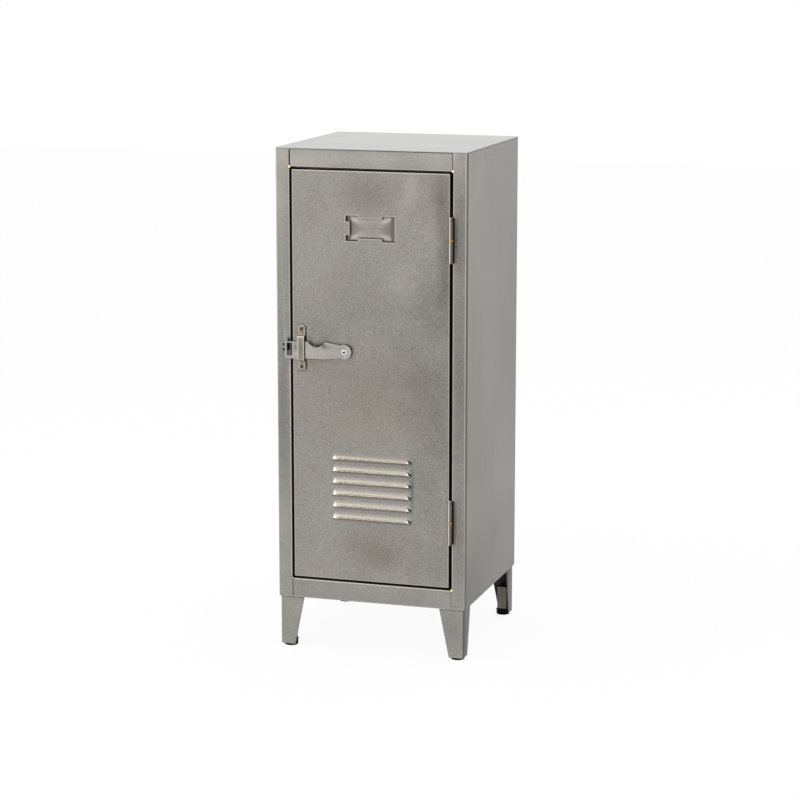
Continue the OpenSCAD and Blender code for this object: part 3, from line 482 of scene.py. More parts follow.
def make_frame_steel():
    """Sanded face and brushed sides of the frame, with burnt seams, painted highlights on its folds, and
    painted shade beyond the near fold, beside the hinges, under the braze beads and on faces turned inward.
    """
    g = Surface("frame steel")
    face, strokes = g.sanded(rgb(160, 157, 152), rgb(142, 138, 132), rgb(129, 119, 104), 0.26,
                             shift=(0.3, 0.1, 0.2), cloud=0.6, patches=FRAME_PATCHES)
    side, lines = g.brushed(rgb(143, 140, 136), rgb(136, 132, 128), lines=0.015, bands=0.12,
                            width=2.6 * MM, length=220 * MM)
    at, depth = g.parts(g.place()), g.depth()

    def upward(low, high, start):
        """A value that grows to 1 between two heights over the body's bottom, in millimetres."""
        return g.ramp(at["Z"], body_bottom + low * MM, body_bottom + high * MM, start, 1.0)

    # A painted band of light across the side, and the side darker towards its bottom.
    glow = g.spot((frame_right, 0.02, body_bottom + 0.15), (1, 0.4, 0.075), Ragged=0.2)
    side = g.toned(side, g.math("MULTIPLY_ADD", glow, 0.07, upward(0, 170, 0.93)))
    # Painted shade on the side just beyond the near fold, weaker towards the bottom.
    fold = g.product(g.ramp(depth, 0.3 * MM, 0.7 * MM), g.fade(depth, 7.5 * MM, 11 * MM))
    side = g.tinted(side, (rgb(60, 38, 14), fold, upward(60, 420, 0.5)))
    # The side darker towards its bottom front corner.
    corner = g.spot((frame_right, face_y + 0.03, body_bottom + 0.02), (1, 0.16, 0.1))
    side = g.toned(side, g.math("MULTIPLY_ADD", corner, -0.16, 1.0))
    rear = g.math("MAXIMUM", g.ramp(depth, 299 * MM, 302 * MM),
                  g.ramp(at["Z"], body_top - 3.6 * MM, body_top - 2.4 * MM))
    side = g.tinted(side, (rgb(84, 78, 72), rear, 0.6))
    for back, down in WELD_SPOTS:
        weld = g.spot((frame_right, face_y + back * MM, body_top - down * MM), (1, 4 * MM, 3.2 * MM),
                      Ragged=0.5)
        side = g.tinted(side, (rgb(96, 90, 84), weld, 0.6))

    # A painted highlight on the stiles beside the door's opening.
    edge_highlight = g.beside(SEAM_X + 1.3 * MM, 0.2 * MM, 0.9 * MM, opening_middle)
    seam = g.beside(SEAM_X, g.ramp(at["X"], -1 * MM, 1 * MM, 0.9 * MM, 0.4 * MM),
                    g.ramp(at["X"], -1 * MM, 1 * MM, 1.6 * MM, 1.1 * MM), opening_middle)
    beyond = g.math("MAXIMUM", g.ramp(at["Z"], door_top + 3 * MM, door_top + 4.5 * MM),
                    g.fade(at["Z"], door_bottom - 4.5 * MM, door_bottom - 3 * MM))
    top_line = g.level(body_top - 2.0 * MM, 0.3 * MM, 0.9 * MM)
    between = g.ramp(g.apart(at["X"], opening_middle), SEAM_X, SEAM_X + 1 * MM, 1.0, 0.35)
    across = g.ramp(at["X"], opening_left, opening_right, 0.5, 0.9)
    # Painted highlights on the rails' folds at the opening, on the body's bottom edge and on the near fold.
    rims = g.math("MAXIMUM", g.level(opening_high + 0.9 * MM), g.level(opening_low - 0.9 * MM))
    levels = g.math("MAXIMUM", g.product(rims, g.ramp(between, 0.4, 1.0)),
                    g.product(g.level(body_bottom + 0.7 * MM), 0.4))
    upright = g.product(g.beside(-body_low[0] - 1.1 * MM), upward(80, 500, 0.4))
    face = g.tinted(face, (rgb(222, 216, 204), edge_highlight, 0.6),
                   (rgb(26, 21, 17), seam, beyond, upward(300, 400, 0.52)),
                   (rgb(52, 45, 38), top_line, across, between),
                   (rgb(224, 221, 214), g.math("MAXIMUM", upright, levels), 0.62))
    face = g.rings(g.bars(face, HINGE_SHADE), BEAD_SHADE_AND_DOT)

    # Painted shade on the faces turned in towards the locker's middle, darkest on the jambs near the face.
    masks = g.use(facing)
    inside = g.mix(g.ramp(depth, 26 * MM, 30 * MM), rgb(52, 47, 42), g.toned(side, 0.8))
    colour = g.tinted(g.mix(masks["Flat On"], side, face), (inside, masks["Inward"]))
    return g.finish(colour, g.math("MULTIPLY_ADD", strokes, 0.6, g.product(lines, 0.3)), 0.42)


def make_leg_steel():
    """Sanded legs whose side flanges stand in painted shade, with a painted shadow line under the body and a
    dark inside.
    """
    g = Surface("leg steel")
    colour, strokes = g.sanded(rgb(163, 159, 153), rgb(149, 145, 139), rgb(135, 126, 113), 0.3,
                               shift=(0.9, 0.4, 0.1), cloud=0.7, patches=[(290, -30, 34, 70, -0.12)])
    masks, up = g.use(facing), g.parts(g.place())["Z"]
    # Painted shade on the side flanges, and a painted shadow line just under the body.
    colour = g.tinted(
        colour, (rgb(66, 62, 57), masks["Sideways"], g.ramp(g.depth(), 1 * MM, 22 * MM, 0.96, 0.74)),
        (rgb(60, 54, 48), g.ramp(up, body_bottom - 2.6 * MM, body_bottom - 1.0 * MM, 0.0, 0.6)),
        (rgb(34, 29, 25), masks["Inward"]))
    return g.finish(colour, strokes, 0.42)


def make_louvre_steel():
    """The door's steel drawn out over a hood: painted highlights low down, at its left end and at its right
    corner, streaked brown, painted shade at the right end.
    """
    g = Surface("louvre steel")
    colour, strokes = g.sanded(rgb(162, 158, 151), rgb(146, 141, 133), rgb(135, 124, 108), 0.34, cloud=0.8,
                               patches=DOOR_PATCHES)
    rise, run, place = g.attribute("rise"), g.attribute("run"), g.place()
    slant = g.math("MULTIPLY_ADD", rise, 0.12, run)
    upper = g.ramp(g.parts(place)["Z"], louvre_z + 4.5 * LOUVRE_PITCH, louvre_z + 4.6 * LOUVRE_PITCH,
                   1.0, 0.3)
    haze_highlight = g.product(g.ramp(rise, 0.4, 0.95, 0.5, 0.0), g.ramp(strokes, 0.0, 1.0, 0.2, 1.5))
    rub = g.noise(g.vector("MULTIPLY", place, (230, 60, 700)), 1.0, 4.0, 0.7)
    bright = g.product(g.fade(g.math("MULTIPLY_ADD", run, 0.05, rise), 0.3, 0.5, smooth=True),
                       g.ramp(run, -0.7, 0.8, 1.0, 0.56), g.fade(slant, 0.935, 0.955))
    low = g.product(g.fade(rise, 0.14, 0.42), g.ramp(rub, 0.41, 0.56, 0.15, 1.0),
                    g.ramp(run, -0.3, 0.6, 1.0, 0.6))
    tip = g.fade(rise, 0.35, 0.6)
    # Painted highlights: a haze up the hood, the bright band low down, the white left end and the right corner;
    # painted shade at the right tip.
    colour = g.tinted(colour, (rgb(228, 225, 217), haze_highlight, upper),
                     (rgb(230, 223, 209), bright, g.ramp(rub, 0.35, 0.6, 0.4, 1.0)),
                     (rgb(140, 116, 84), low, g.fade(g.math("ABSOLUTE", run), 0.8, 0.93)),
                     (rgb(250, 250, 248), g.ramp(run, -0.9, -0.97), tip),
                     (rgb(240, 236, 226), g.ramp(slant, 0.895, 0.915), g.ramp(rise, 0.15, 0.32, 0.9, 0.0)),
                     (rgb(30, 24, 19), g.ramp(slant, 0.945, 0.96, 0.0, 0.96), tip))
    return g.finish(colour, strokes, 0.36)


def make_card_steel():
    """The card pan: painted highlights above and below its creases and near its corners, painted shade at its
    ends, along the window's edge and in its corners.
    """
    g = Surface("card steel")
    colour, strokes = g.sanded(rgb(166, 163, 158), rgb(150, 147, 141), rgb(142, 133, 120), 0.38,
                               shift=(0.6, 0.6, 0.1), cloud_size=30 * MM)
    painted_shade = g.attribute("painted_shade")
    colour = g.tinted(colour, (rgb(212, 207, 200), g.attribute("highlight"), 0.7),
                     (rgb(116, 109, 98), g.ramp(painted_shade, 0.0, 0.6)),
                     (rgb(48, 38, 28), g.ramp(painted_shade, 0.66, 0.9)))
    return g.finish(colour, strokes, 0.38)


def make_fitting_steel(name, light, dark, sanded=False, edge=0.8, patches=(), bars=(), rings=(), levels=(),
                       barrel=False):
    """Steel of the latch and hinges, with its cut edges painted dark, or with a barrel's painted highlight on
    its left, painted shade on its right and a painted dark line between.

    patches, bars and rings are as Surface has them, and levels are (height, reach, amount, tint).
    """
    g = Surface(name)
    if sanded:
        colour, height = g.sanded(light, dark, rgb(150, 139, 122), 0.26, shift=(0.2, 0.5, 0.9), cloud=0.7,
                                  cloud_size=30 * MM, patches=patches)
    else:
        colour, height = g.brushed(light, dark, lines=0.12, width=0.9 * MM, length=30 * MM)
        colour = g.toned(colour, g.patched(1.0, patches))
    colour = g.rings(g.bars(colour, bars), rings)
    for up, reach, amount, tint in levels:
        colour = g.tinted(colour, (tint, g.level(body_bottom + up * MM, 0.5 * reach, reach), amount))
    masks = g.use(facing)
    if barrel:
        # Painted highlight, shade and dark line across the barrel, and painted shade behind the face.
        colour = g.tinted(colour, (rgb(244, 241, 234), masks["Left"], 0.8), (SHADOW_BLACK, masks["Line"], 0.85),
                         (SHADOW_BLACK, masks["Right"]), (rgb(34, 30, 27), g.ramp(g.depth(), 0.0, 0.8 * MM)))
    else:
        # The cut edges, which face sideways, painted dark.
        colour = g.tinted(colour, (SHADE_AND_EDGE_DARK, g.minus(1.0, masks["Flat On"]), edge))
    return g.finish(colour, height, 0.36, 0.05 * MM)


def make_brushed(name, light, dark, roughness, relief=0.02 * MM, plate=False, **brushing):
    """Brushed steel, black as high as the plates in the feet's sockets where it has such a plate."""
    g = Surface(name)
    colour, height = g.brushed(light, dark, **brushing)
    if plate:
        colour = g.tinted(colour, (rgb(10, 10, 9), g.fade(g.parts(g.place())["Z"], 10.0 * MM, 10.8 * MM)))
    return g.finish(colour, height, roughness, relief)


def make_plain(name, colour, second, size, roughness, metallic, relief=0.05 * MM, hole=None, specular=0.5):
    """A small part's finish: two close tones in a fine mottle with a matching bump, and its hole painted as a
    dark dot.
    """
    g = Surface(name, metallic, specular)
    mottle = g.ramp(g.noise(g.place(), 1 / size, 4.0), 0.35, 0.65, smooth=True)
    tint = g.mix(mottle, colour, second)
    if hole:
        mouth = g.use(ring_line, Middle=hole, Fine=1.7 * MM, Soft=2.2 * MM)["Ring"]
        tint = g.tinted(tint, (rgb(14, 14, 15), mouth))
    return g.finish(tint, mottle, roughness, relief, (0.0, 0.12))


# Colours of painted light: a dark brown for painted shade lines and dark cut edges, a near black for painted
# shadows and for holes painted as dark dots, a straw tone for a painted line at the strap's fold, a brown for
# painted shade round the strap and beside the hinges, and a pale tone for painted highlights on the strap's
# rims.
SHADE_AND_EDGE_DARK, SHADOW_BLACK, STRAW = rgb(40, 34, 28), rgb(16, 14, 13), rgb(190, 168, 128)
SHADE_BROWN, RIM_HIGHLIGHT = rgb(104, 88, 68), rgb(228, 224, 216)
PIVOT_UP = 403
STRAP_IN = 42.0
UPPER_HINGE, LOWER_HINGE = 584.5, 140.5
PIVOT = at_body(113.6, PIVOT_UP)
NOTCH = at_body(67.1, PIVOT_UP + 21.5)
GUIDE_RIVETS = [at_body(STRAP_IN, PIVOT_UP + 33.3), at_body(STRAP_IN, PIVOT_UP - 27.0)]

# Soft patches on the face: x, z, reach in x, reach in z, amount; darker where the amount is below 0. Those on
# the door are partly painted light, darker towards its right, and painted shade round the strap and the lever.
DOOR_PATCHES = [
    (146, 652, 56, 36, -0.15), (220, 664, 20, 46, 0.24), (207, 628, 18, 34, 0.15), (268, 655, 24, 60, -0.26),
    (276, 590, 22, 120, -0.28), (276, 520, 22, 90, -0.14), (330, 330, 170, 420, -0.2),
    (104, 436, 60, 46, -0.05), (170, 470, 120, 90, -0.1), (212, 512, 46, 40, 0.12), (256, 480, 60, 80, -0.14),
    (170, 350, 130, 90, -0.14), (204, 414, 70, 40, -0.05), (130, 288, 120, 34, 0.03),
    (253, 320, 60, 130, -0.16), (165, 100, 90, 90, -0.12), (50, 540, 70, 90, 0.03), (60, 640, 60, 60, 0.03),
    (148, 92, 54, 26, -0.08), (180, 74, 38, 30, -0.12), (80, 60, 80, 60, 0.03), (255, 60, 70, 60, -0.1),
    (244, 190, 36, 70, -0.12), (223.5, 188, 6, 62, -0.3), (34, 440, 16, 40, -0.06), (79, 420, 26, 18, -0.14),
    (57, 412, 9, 40, -0.2), (61, 446, 26, 22, -0.08), (50, 377, 3, 12, -0.4),
]
DOOR_TINTS = [
    (148, 652, 70, 50, 0.2), (150, 340, 160, 100, 0.18), (170, 284, 160, 50, 0.12), (166, 84, 70, 44, 0.22),
    (61, 385, 34, 44, 0.16), (268, 640, 30, 80, 0.12),
]
# On the frame, painted shade beside the hinges and beside the lever's slot; the rest make the tone uneven.
FRAME_PATCHES = [
    (8, 660, 30, 170, 0.26), (10, 330, 18, 210, -0.26), (10, 90, 30, 130, 0.14), (40, 706, 90, 36, 0.3),
    (155, 706, 120, 24, 0.24), (262, 706, 70, 36, 0.24), (300, 590, 22, 100, -0.33),
    (300, 380, 24, 240, -0.25), (300, 130, 24, 130, -0.26), (155, 16, 170, 26, 0.05),
    (293, UPPER_HINGE, 6, 42, -0.3), (293, LOWER_HINGE, 6, 42, -0.3), (19.5, 419, 4.5, 5, -0.7),
]
# Bars on the face: x, z, half width, half height, soft edge, amount, tint; painted shadows beside the strap and
# the hinge barrels, and painted shade lines round the strap
STRAP_SHADE = [
    (STRAP_IN + 5.8, PIVOT_UP + 3.2, 1.3, 34, 1.0, 0.95, SHADOW_BLACK),
    (STRAP_IN - 6.4, PIVOT_UP + 30, 0.3, 10, 0.9, 0.7, SHADE_BROWN),
    (STRAP_IN - 6.4, PIVOT_UP - 26, 0.3, 8, 0.9, 0.7, SHADE_BROWN),
    (STRAP_IN, PIVOT_UP + 40.2, 4, 0.3, 0.9, 0.7, SHADE_BROWN),
    (STRAP_IN, PIVOT_UP - 33.9, 5, 0.3, 0.9, 0.7, SHADE_AND_EDGE_DARK),
]
HINGE_SHADE = [
    (292.0, UPPER_HINGE, 1.5, 33, 3.0, 0.4, SHADE_BROWN), (292.0, LOWER_HINGE, 1.5, 33, 3.0, 0.4, SHADE_BROWN),
    (290.0, UPPER_HINGE, 0.7, 34, 1.0, 0.95, SHADOW_BLACK), (290.2, LOWER_HINGE, 0.9, 34, 1.0, 0.95, SHADOW_BLACK),
]
# Welds on the right side: how far behind the face, and below the top
WELD_SPOTS = [(46, 20), (106, 18), (165, 18), (237, 41)]
# Painted shade under each braze bead, and a brass dot at the top of the left seam.
BEAD_SHADE_AND_DOT = [((x, face_y, z), 0.0, 3.6 * MM, 0.8, SHADE_AND_EDGE_DARK)
               for x in (opening_left, opening_right) for z in (opening_low, opening_high)]
BEAD_SHADE_AND_DOT.append(((opening_left - 0.4 * MM, face_y, body_top - 1.6 * MM), 0.0, 1.3 * MM, 0.9,
                    rgb(226, 190, 116)))

door_steel = make_door_steel()
frame_steel = make_frame_steel()
leg_steel = make_leg_steel()
louvre_steel = make_louvre_steel()
card_steel = make_card_steel()
# The top's steel is given a lighter colour than the front's: painted light from above.
lit_top_steel = make_brushed("top steel", rgb(193, 193, 192), rgb(183, 183, 182), 0.4, 0.04 * MM,
                         turn=(0, radians(90), 0), lines=0.02)
inner_steel = make_brushed("inner steel", rgb(120, 116, 108), rgb(98, 94, 87), 0.5)
# On the lever: painted shadows under the notch's tab and left of the strap, and a lighter head; a painted
# shadow of the strap, a painted shade line along its lower edge, and painted shade round the notch.
lever_steel = make_fitting_steel(
    "lever steel", rgb(177, 174, 169), rgb(165, 161, 155), sanded=True, edge=0.9,
    patches=[(80, PIVOT_UP + 8, 7, 7, -0.6), (88, PIVOT_UP + 6, 12, 6, -0.2),
             (33, PIVOT_UP + 4, 5.5, 11, -0.42), (116, PIVOT_UP - 1, 13, 14, 0.2),
             (98, PIVOT_UP - 4, 16, 10, 0.07)],
    bars=[(STRAP_IN + 5.9, PIVOT_UP, 0.7, 16, 0.8, 0.9, SHADOW_BLACK),
          (66, PIVOT_UP - 14.1, 18, 0.3, 1.0, 0.9, SHADE_AND_EDGE_DARK),
          (88, PIVOT_UP - 13.5, 3.5, 0.3, 1.0, 0.85, SHADE_AND_EDGE_DARK),
          (95, PIVOT_UP - 12.3, 3.5, 0.3, 1.0, 0.8, SHADE_AND_EDGE_DARK)],
    rings=[(NOTCH, 14 * MM, 2.1 * MM, 0.95, SHADOW_BLACK)])
# On the strap: a darker bridge and feet, painted highlights on its rims with painted shade lines inside them,
# its rivets' holes painted as dark dots, and painted light and shade lines at its feet's folds.
strap_steel = make_fitting_steel(
    "strap steel", rgb(164, 159, 150), rgb(140, 135, 126),
    patches=[(STRAP_IN, PIVOT_UP + 2, 5, 24, -0.34), (STRAP_IN, PIVOT_UP + 29, 4.5, 5, -0.16),
             (STRAP_IN, PIVOT_UP - 24, 4.5, 5, -0.16)],
    bars=[(STRAP_IN - 5.2, PIVOT_UP + 3, 0.2, 40, 0.9, 0.75, RIM_HIGHLIGHT),
          (STRAP_IN + 5.2, PIVOT_UP + 3, 0.1, 40, 0.7, 0.6, RIM_HIGHLIGHT),
          (STRAP_IN, PIVOT_UP + 38.8, 4.4, 0.2, 0.9, 0.7, RIM_HIGHLIGHT),
          (STRAP_IN - 3.2, PIVOT_UP + 31, 0.2, 5, 0.8, 0.5, SHADE_BROWN),
          (STRAP_IN - 3.2, PIVOT_UP - 26, 0.2, 4, 0.8, 0.5, SHADE_BROWN)],
    rings=[(middle, 0.0, 3.0 * MM, 1.0, SHADOW_BLACK) for middle in GUIDE_RIVETS],
    levels=[(PIVOT_UP + 24.2, 2.0 * MM, 0.6, STRAW), (PIVOT_UP + 21.6, 1.2 * MM, 0.8, rgb(238, 234, 226)),
            (PIVOT_UP - 18.0, 1.2 * MM, 0.6, SHADE_AND_EDGE_DARK)])
# A painted shade line near the top of each barrel.
hinge_steel = make_fitting_steel(
    "hinge steel", rgb(146, 140, 130), rgb(118, 112, 102), barrel=True,
    levels=[(middle + 31.5, 0.9 * MM, 0.6, SHADE_AND_EDGE_DARK) for middle in (UPPER_HINGE, LOWER_HINGE)])
# The pivot rivet's hollow is painted as a dark dot.
bright_zinc = make_plain("bright zinc", rgb(236, 241, 244), rgb(216, 223, 227), 1.5 * MM, 0.18, 1.0,
                         hole=PIVOT)
brass = make_plain("brass", rgb(255, 242, 204), rgb(234, 204, 138), 1.2 * MM, 0.25, 1.0, 0.1 * MM)
washer_brass = make_plain("washer brass", rgb(206, 158, 64), rgb(182, 136, 46), 1.0 * MM, 0.35, 0.8, 0.1 * MM)
black_steel = make_plain("black steel", rgb(24, 21, 19), rgb(12, 11, 10), 1.5 * MM, 0.5, 0.6, 0.1 * MM,
                         specular=0.3)
socket_steel = make_brushed("socket steel", rgb(118, 112, 103), rgb(84, 78, 70), 0.42, plate=True,
                            lines=0.14, width=1.2 * MM, length=30 * MM)
rubber = make_plain("black rubber", rgb(6, 6, 6), rgb(13, 13, 12), 1.0 * MM, 0.8, 0.0, 0.08 * MM,
                    specular=0.15)


# ---- making pieces

def cover(mesh, material):
    mesh.materials.clear()
    mesh.materials.append(material)


def new_piece(name, mesh, material, body, replaced=()):
    """A visible piece that rides on a body."""
    piece = new_object(name, mesh)
    cover(mesh, material)
    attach(piece, body)
    if replaced:
        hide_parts(*replaced)


def loose(work, name):
    """A loose object with the shape of a bmesh, which is freed, for modifiers to work on."""
    mesh = bpy.data.meshes.new(name)
    work.to_mesh(mesh)
    work.free()
    return new_object(name, mesh)


def modify(made, name, kind, **settings):
    modifier = made.modifiers.new(name, kind)
    for title, value in settings.items():
        setattr(modifier, title, value)
    return modifier


def finished(made, angle=32):
    """The plain mesh of a loose object with its modifiers applied, smooth but for its sharp edges."""
    depsgraph = bpy.context.evaluated_depsgraph_get()
    mesh = bpy.data.meshes.new_from_object(made.evaluated_get(depsgraph))
    bpy.data.objects.remove(made)
    mesh.polygons.foreach_set("use_smooth", [True] * len(mesh.polygons))
    mesh.set_sharp_from_angle(angle=radians(angle))
    return mesh


def soften(node, material, body, width=0.25 * MM):
    """A copy of a CAD node with its triangles joined, its folds smooth and its edges a little rounded."""
    work = bmesh.new()
    work.from_mesh(nodes[node].data)
    bmesh.ops.remove_doubles(work, verts=work.verts, dist=0.002 * MM)
    bmesh.ops.dissolve_limit(work, angle_limit=radians(0.5), verts=work.verts, edges=work.edges)
    made = loose(work, node + "_soft")
    if width:
        modify(made, "edges", "BEVEL", width=width, segments=2, limit_method="ANGLE",
               angle_limit=radians(40), harden_normals=True)
    new_piece(node + "_finished", finished(made), material, body, [node])


# ---- door

LIPS = [louvre_z + i * LOUVRE_PITCH for i in range(LOUVRES)]
SLOT_HEIGHT = LOUVRE_HEIGHT * 0.8


def new_sheet():
    """An empty bmesh, with the layers of its painted highlights and its painted shade."""
    work = bmesh.new()
    return work, work.verts.layers.float.new("highlight"), work.verts.layers.float.new("painted_shade")


def tile(work, grid, i, j):
    """Makes one face of a grid of points."""
    work.faces.new((grid[i][j], grid[i + 1][j], grid[i + 1][j + 1], grid[i][j + 1]))


def border(last_i, last_j):
    """The places round the edge of a grid, in order."""
    return ([(i, 0) for i in range(last_i)] + [(last_i, j) for j in range(last_j)]
            + [(i, last_j) for i in range(last_i, 0, -1)] + [(0, j) for j in range(last_j, 0, -1)])


def join(work, ring, following):
    """Makes the faces between two rings of points."""
    for k in range(len(ring)):
        n = (k + 1) % len(ring)
        work.faces.new((ring[n], ring[k], following[k], following[n]))


def door_lines():
    """The grid lines of the door's skin, denser at the window and the louvres."""
    fold_left, fold_right = door_left + FOLD, door_right - FOLD
    fold_bottom, fold_top = door_bottom + FOLD, door_top - FOLD
    end_low = (card_top + card_bottom - CARD_END_TAB[1]) / 2
    beside = 0.8 * MM
    xs = {fold_left, fold_left + beside, fold_right - beside, fold_right,
          louvre_x - LOUVRE_LENGTH / 2 + LOUVRE_END / 2, louvre_x + LOUVRE_LENGTH / 2 - LOUVRE_END / 2}
    zs = {fold_bottom, fold_bottom + beside, fold_top - beside, fold_top}
    across = (card_left, card_left + CARD_WIDTH, card_left + CARD_END_TAB[0],
              door_middle - CARD_TAB[0] / 2, door_middle + CARD_TAB[0] / 2)
    up = (card_bottom, card_top, card_bottom + CARD_TAB[1], card_top - CARD_TAB[1],
          end_low, end_low + CARD_END_TAB[1])
    xs |= {edge + k * RIM for edge in across for k in range(-2, 3)}
    zs |= {edge + k * RIM for edge in up for k in range(-2, 3)}
    for lip in LIPS:
        zs |= {lip - 5.5 * MM, lip - 2.6 * MM, lip - LIP_GAP, lip + SLOT_HEIGHT}

    def fill(lines, step):
        lines = sorted(lines)
        full = []
        for low, high in zip(lines, lines[1:]):
            count = max(1, ceil((high - low) / step))
            full += [low + (high - low) * k / count for k in range(count)]
        return full + [lines[-1]]
    return fill(xs, 6 * MM), fill(zs, 6 * MM)


def from_window(x, z):
    """How far a point lies inside the card window, clear of its three tabs; below 0 outside it."""
    middle_z = (card_top + card_bottom) / 2
    half = CARD_TAB[0] / 2
    half_end = CARD_END_TAB[1] / 2

    def inside(low_x, high_x, low_z, high_z):
        off_x, off_z = max(low_x - x, x - high_x), max(low_z - z, z - high_z)
        return -(hypot(max(off_x, 0), max(off_z, 0)) + min(max(off_x, off_z), 0))
    return min(inside(card_left, card_left + CARD_WIDTH, card_bottom, card_top),
               -inside(door_middle - half, door_middle + half, card_top - CARD_TAB[1], card_top + 1),
               -inside(door_middle - half, door_middle + half, card_bottom - 1, card_bottom + CARD_TAB[1]),
               -inside(card_left - 1, card_left + CARD_END_TAB[0], middle_z - half_end, middle_z + half_end))


def in_slot(x, z):
    """Whether a point of the skin lies in the opening behind a louvre."""
    if abs(x - louvre_x) > (LOUVRE_LENGTH - LOUVRE_END) / 2:
        return False
    return any(lip - LIP_GAP < z < lip + SLOT_HEIGHT for lip in LIPS)


def make_door_skin():
    """The door's folded sheet: a skin with its window and slots, edges folded back and lips folded in."""
    xs, zs = door_lines()
    work, highlight, painted_shade = new_sheet()
    grid = [[work.verts.new((x, face_y, z)) for z in zs] for x in xs]
    last_i, last_j = len(xs) - 1, len(zs) - 1
    for i in range(last_i):
        for j in range(last_j):
            x, z = (xs[i] + xs[i + 1]) / 2, (zs[j] + zs[j + 1]) / 2
            if from_window(x, z) <= 0 and not in_slot(x, z):
                tile(work, grid, i, j)
    for vertex in work.verts:
        if not vertex.link_faces:
            continue
        x, y, z = vertex.co
        # A painted highlight along the window's rim.
        if abs(from_window(x, z)) < 1.05 * RIM:
            vertex[highlight] = 0.4
        # Painted shade on the skin just under each louvre's lip.
        if abs(x - louvre_x) < LOUVRE_LENGTH / 2:
            for lip in LIPS:
                below = lip - z
                if LIP_GAP - 1e-6 < below < 6 * MM:
                    vertex[painted_shade] = 0.85 if below < 1.5 * MM else 0.3 if below < 4 * MM else 0.0
    turns = [radians(18 * k) for k in range(1, 6)]
    steps = [(FOLD * sin(turn), FOLD * (1 - cos(turn))) for turn in turns]
    steps.append((FOLD, DOOR_DEPTH - FOLD))
    steps += [(FOLD * cos(turn), DOOR_DEPTH - FOLD + FOLD * sin(turn)) for turn in turns]
    steps.append((FOLD - DOOR_LIP, DOOR_DEPTH))
    ring = [grid[i][j] for i, j in border(last_i, last_j)]
    for out, depth in steps:
        following = []
        for i, j in border(last_i, last_j):
            x = xs[i] + (out if i == last_i else -out if i == 0 else 0)
            z = zs[j] + (out if j == last_j else -out if j == 0 else 0)
            vertex = work.verts.new((x, face_y + depth, z))
            # A painted highlight on the front turn of each fold.
            vertex[highlight] = 0.5 if depth < 0.4 * FOLD else 0.0
            following.append(vertex)
        join(work, ring, following)
        ring = following
    bmesh.ops.delete(work, geom=[v for v in work.verts if not v.link_faces], context="VERTS")
    made = loose(work, "door_skin")
    modify(made, "sheet", "SOLIDIFY", thickness=SHEET, offset=-1)
    new_piece("door_skin", finished(made), door_steel, "door", ["door_panel"])


def near(distance, reach, most):
    """A value that falls from the most, at distance 0, to nothing at the reach."""
    return most * max(0.0, 1 - max(0.0, distance) / reach)


def make_card_pan():
    """The pressed pan behind the window, swollen to a creased pillow."""
    columns, rows = 110, 60
    margin = 3 * MM
    pillow = 2.3 * MM
    half_width, half_height = CARD_WIDTH / 2 + margin, CARD_HEIGHT / 2 + margin
    middle_z = door_top - CARD_DROP - CARD_HEIGHT / 2
    work, highlight, painted_shade = new_sheet()
    grid = []
    for i in range(columns + 1):
        x = half_width * (2 * i / columns - 1)
        column = []
        for j in range(rows + 1):
            z = half_height * (2 * j / rows - 1)
            across = max(0.0, (CARD_WIDTH / 2 - abs(x)) / (CARD_WIDTH / 2) * 1.9)
            up = max(0.0, (CARD_HEIGHT / 2 - abs(z)) / (CARD_HEIGHT / 2) * 1.35)
            rise = -log(exp(-7 * across) + exp(-7 * up) + exp(-7)) / 7
            swell = pillow * max(0.0, rise + 0.1)
            vertex = work.verts.new((door_middle + x, face_y + CARD_DEPTH - swell, middle_z + z))
            on_slope = 1 / (1 + exp(9 * (up - across)))
            band = exp(-((up - 0.42) / 0.34) ** 2)
            corner = exp(-((across - up) / 0.4) ** 2) * exp(-((up - 0.45) / 0.32) ** 2)
            # A painted highlight on the slopes above and below the creases, strongest near the corners.
            vertex[highlight] = min(1.0, on_slope * band * (0.4 if z > 0 else 0.34) + 0.8 * corner)
            # Painted shade along the window's edge, at both ends and on the end slopes.
            inside = from_window(door_middle + x, middle_z + z)
            left, right = CARD_WIDTH / 2 + x, CARD_WIDTH / 2 - x
            line = 0.5 if abs(x) < CARD_TAB[0] / 2 + 1 * MM else 0.8
            ends = near(right - 4 * MM, 4 * MM, 0.62) + near(left - 4 * MM, 6 * MM, 0.5)
            triangles = 0.5 * (1 - on_slope) * max(0.0, 1 - 0.45 * across)
            edge = near(inside - 0.5 * MM, 1.3 * MM, line)
            vertex[painted_shade] = min(0.9, max(edge, min(0.64, ends + triangles)))
            column.append(vertex)
        grid.append(column)
    for i in range(columns):
        for j in range(rows):
            tile(work, grid, i, j)
    ring = [grid[i][j] for i, j in border(columns, rows)]
    join(work, ring, [work.verts.new((v.co.x, face_y + SHEET, v.co.z), v) for v in ring])
    new_piece("card_pan", finished(loose(work, "card_pan"), 40), card_steel, "door")


make_door_skin()
make_card_pan()


# ---- pieces grown by geometry nodes

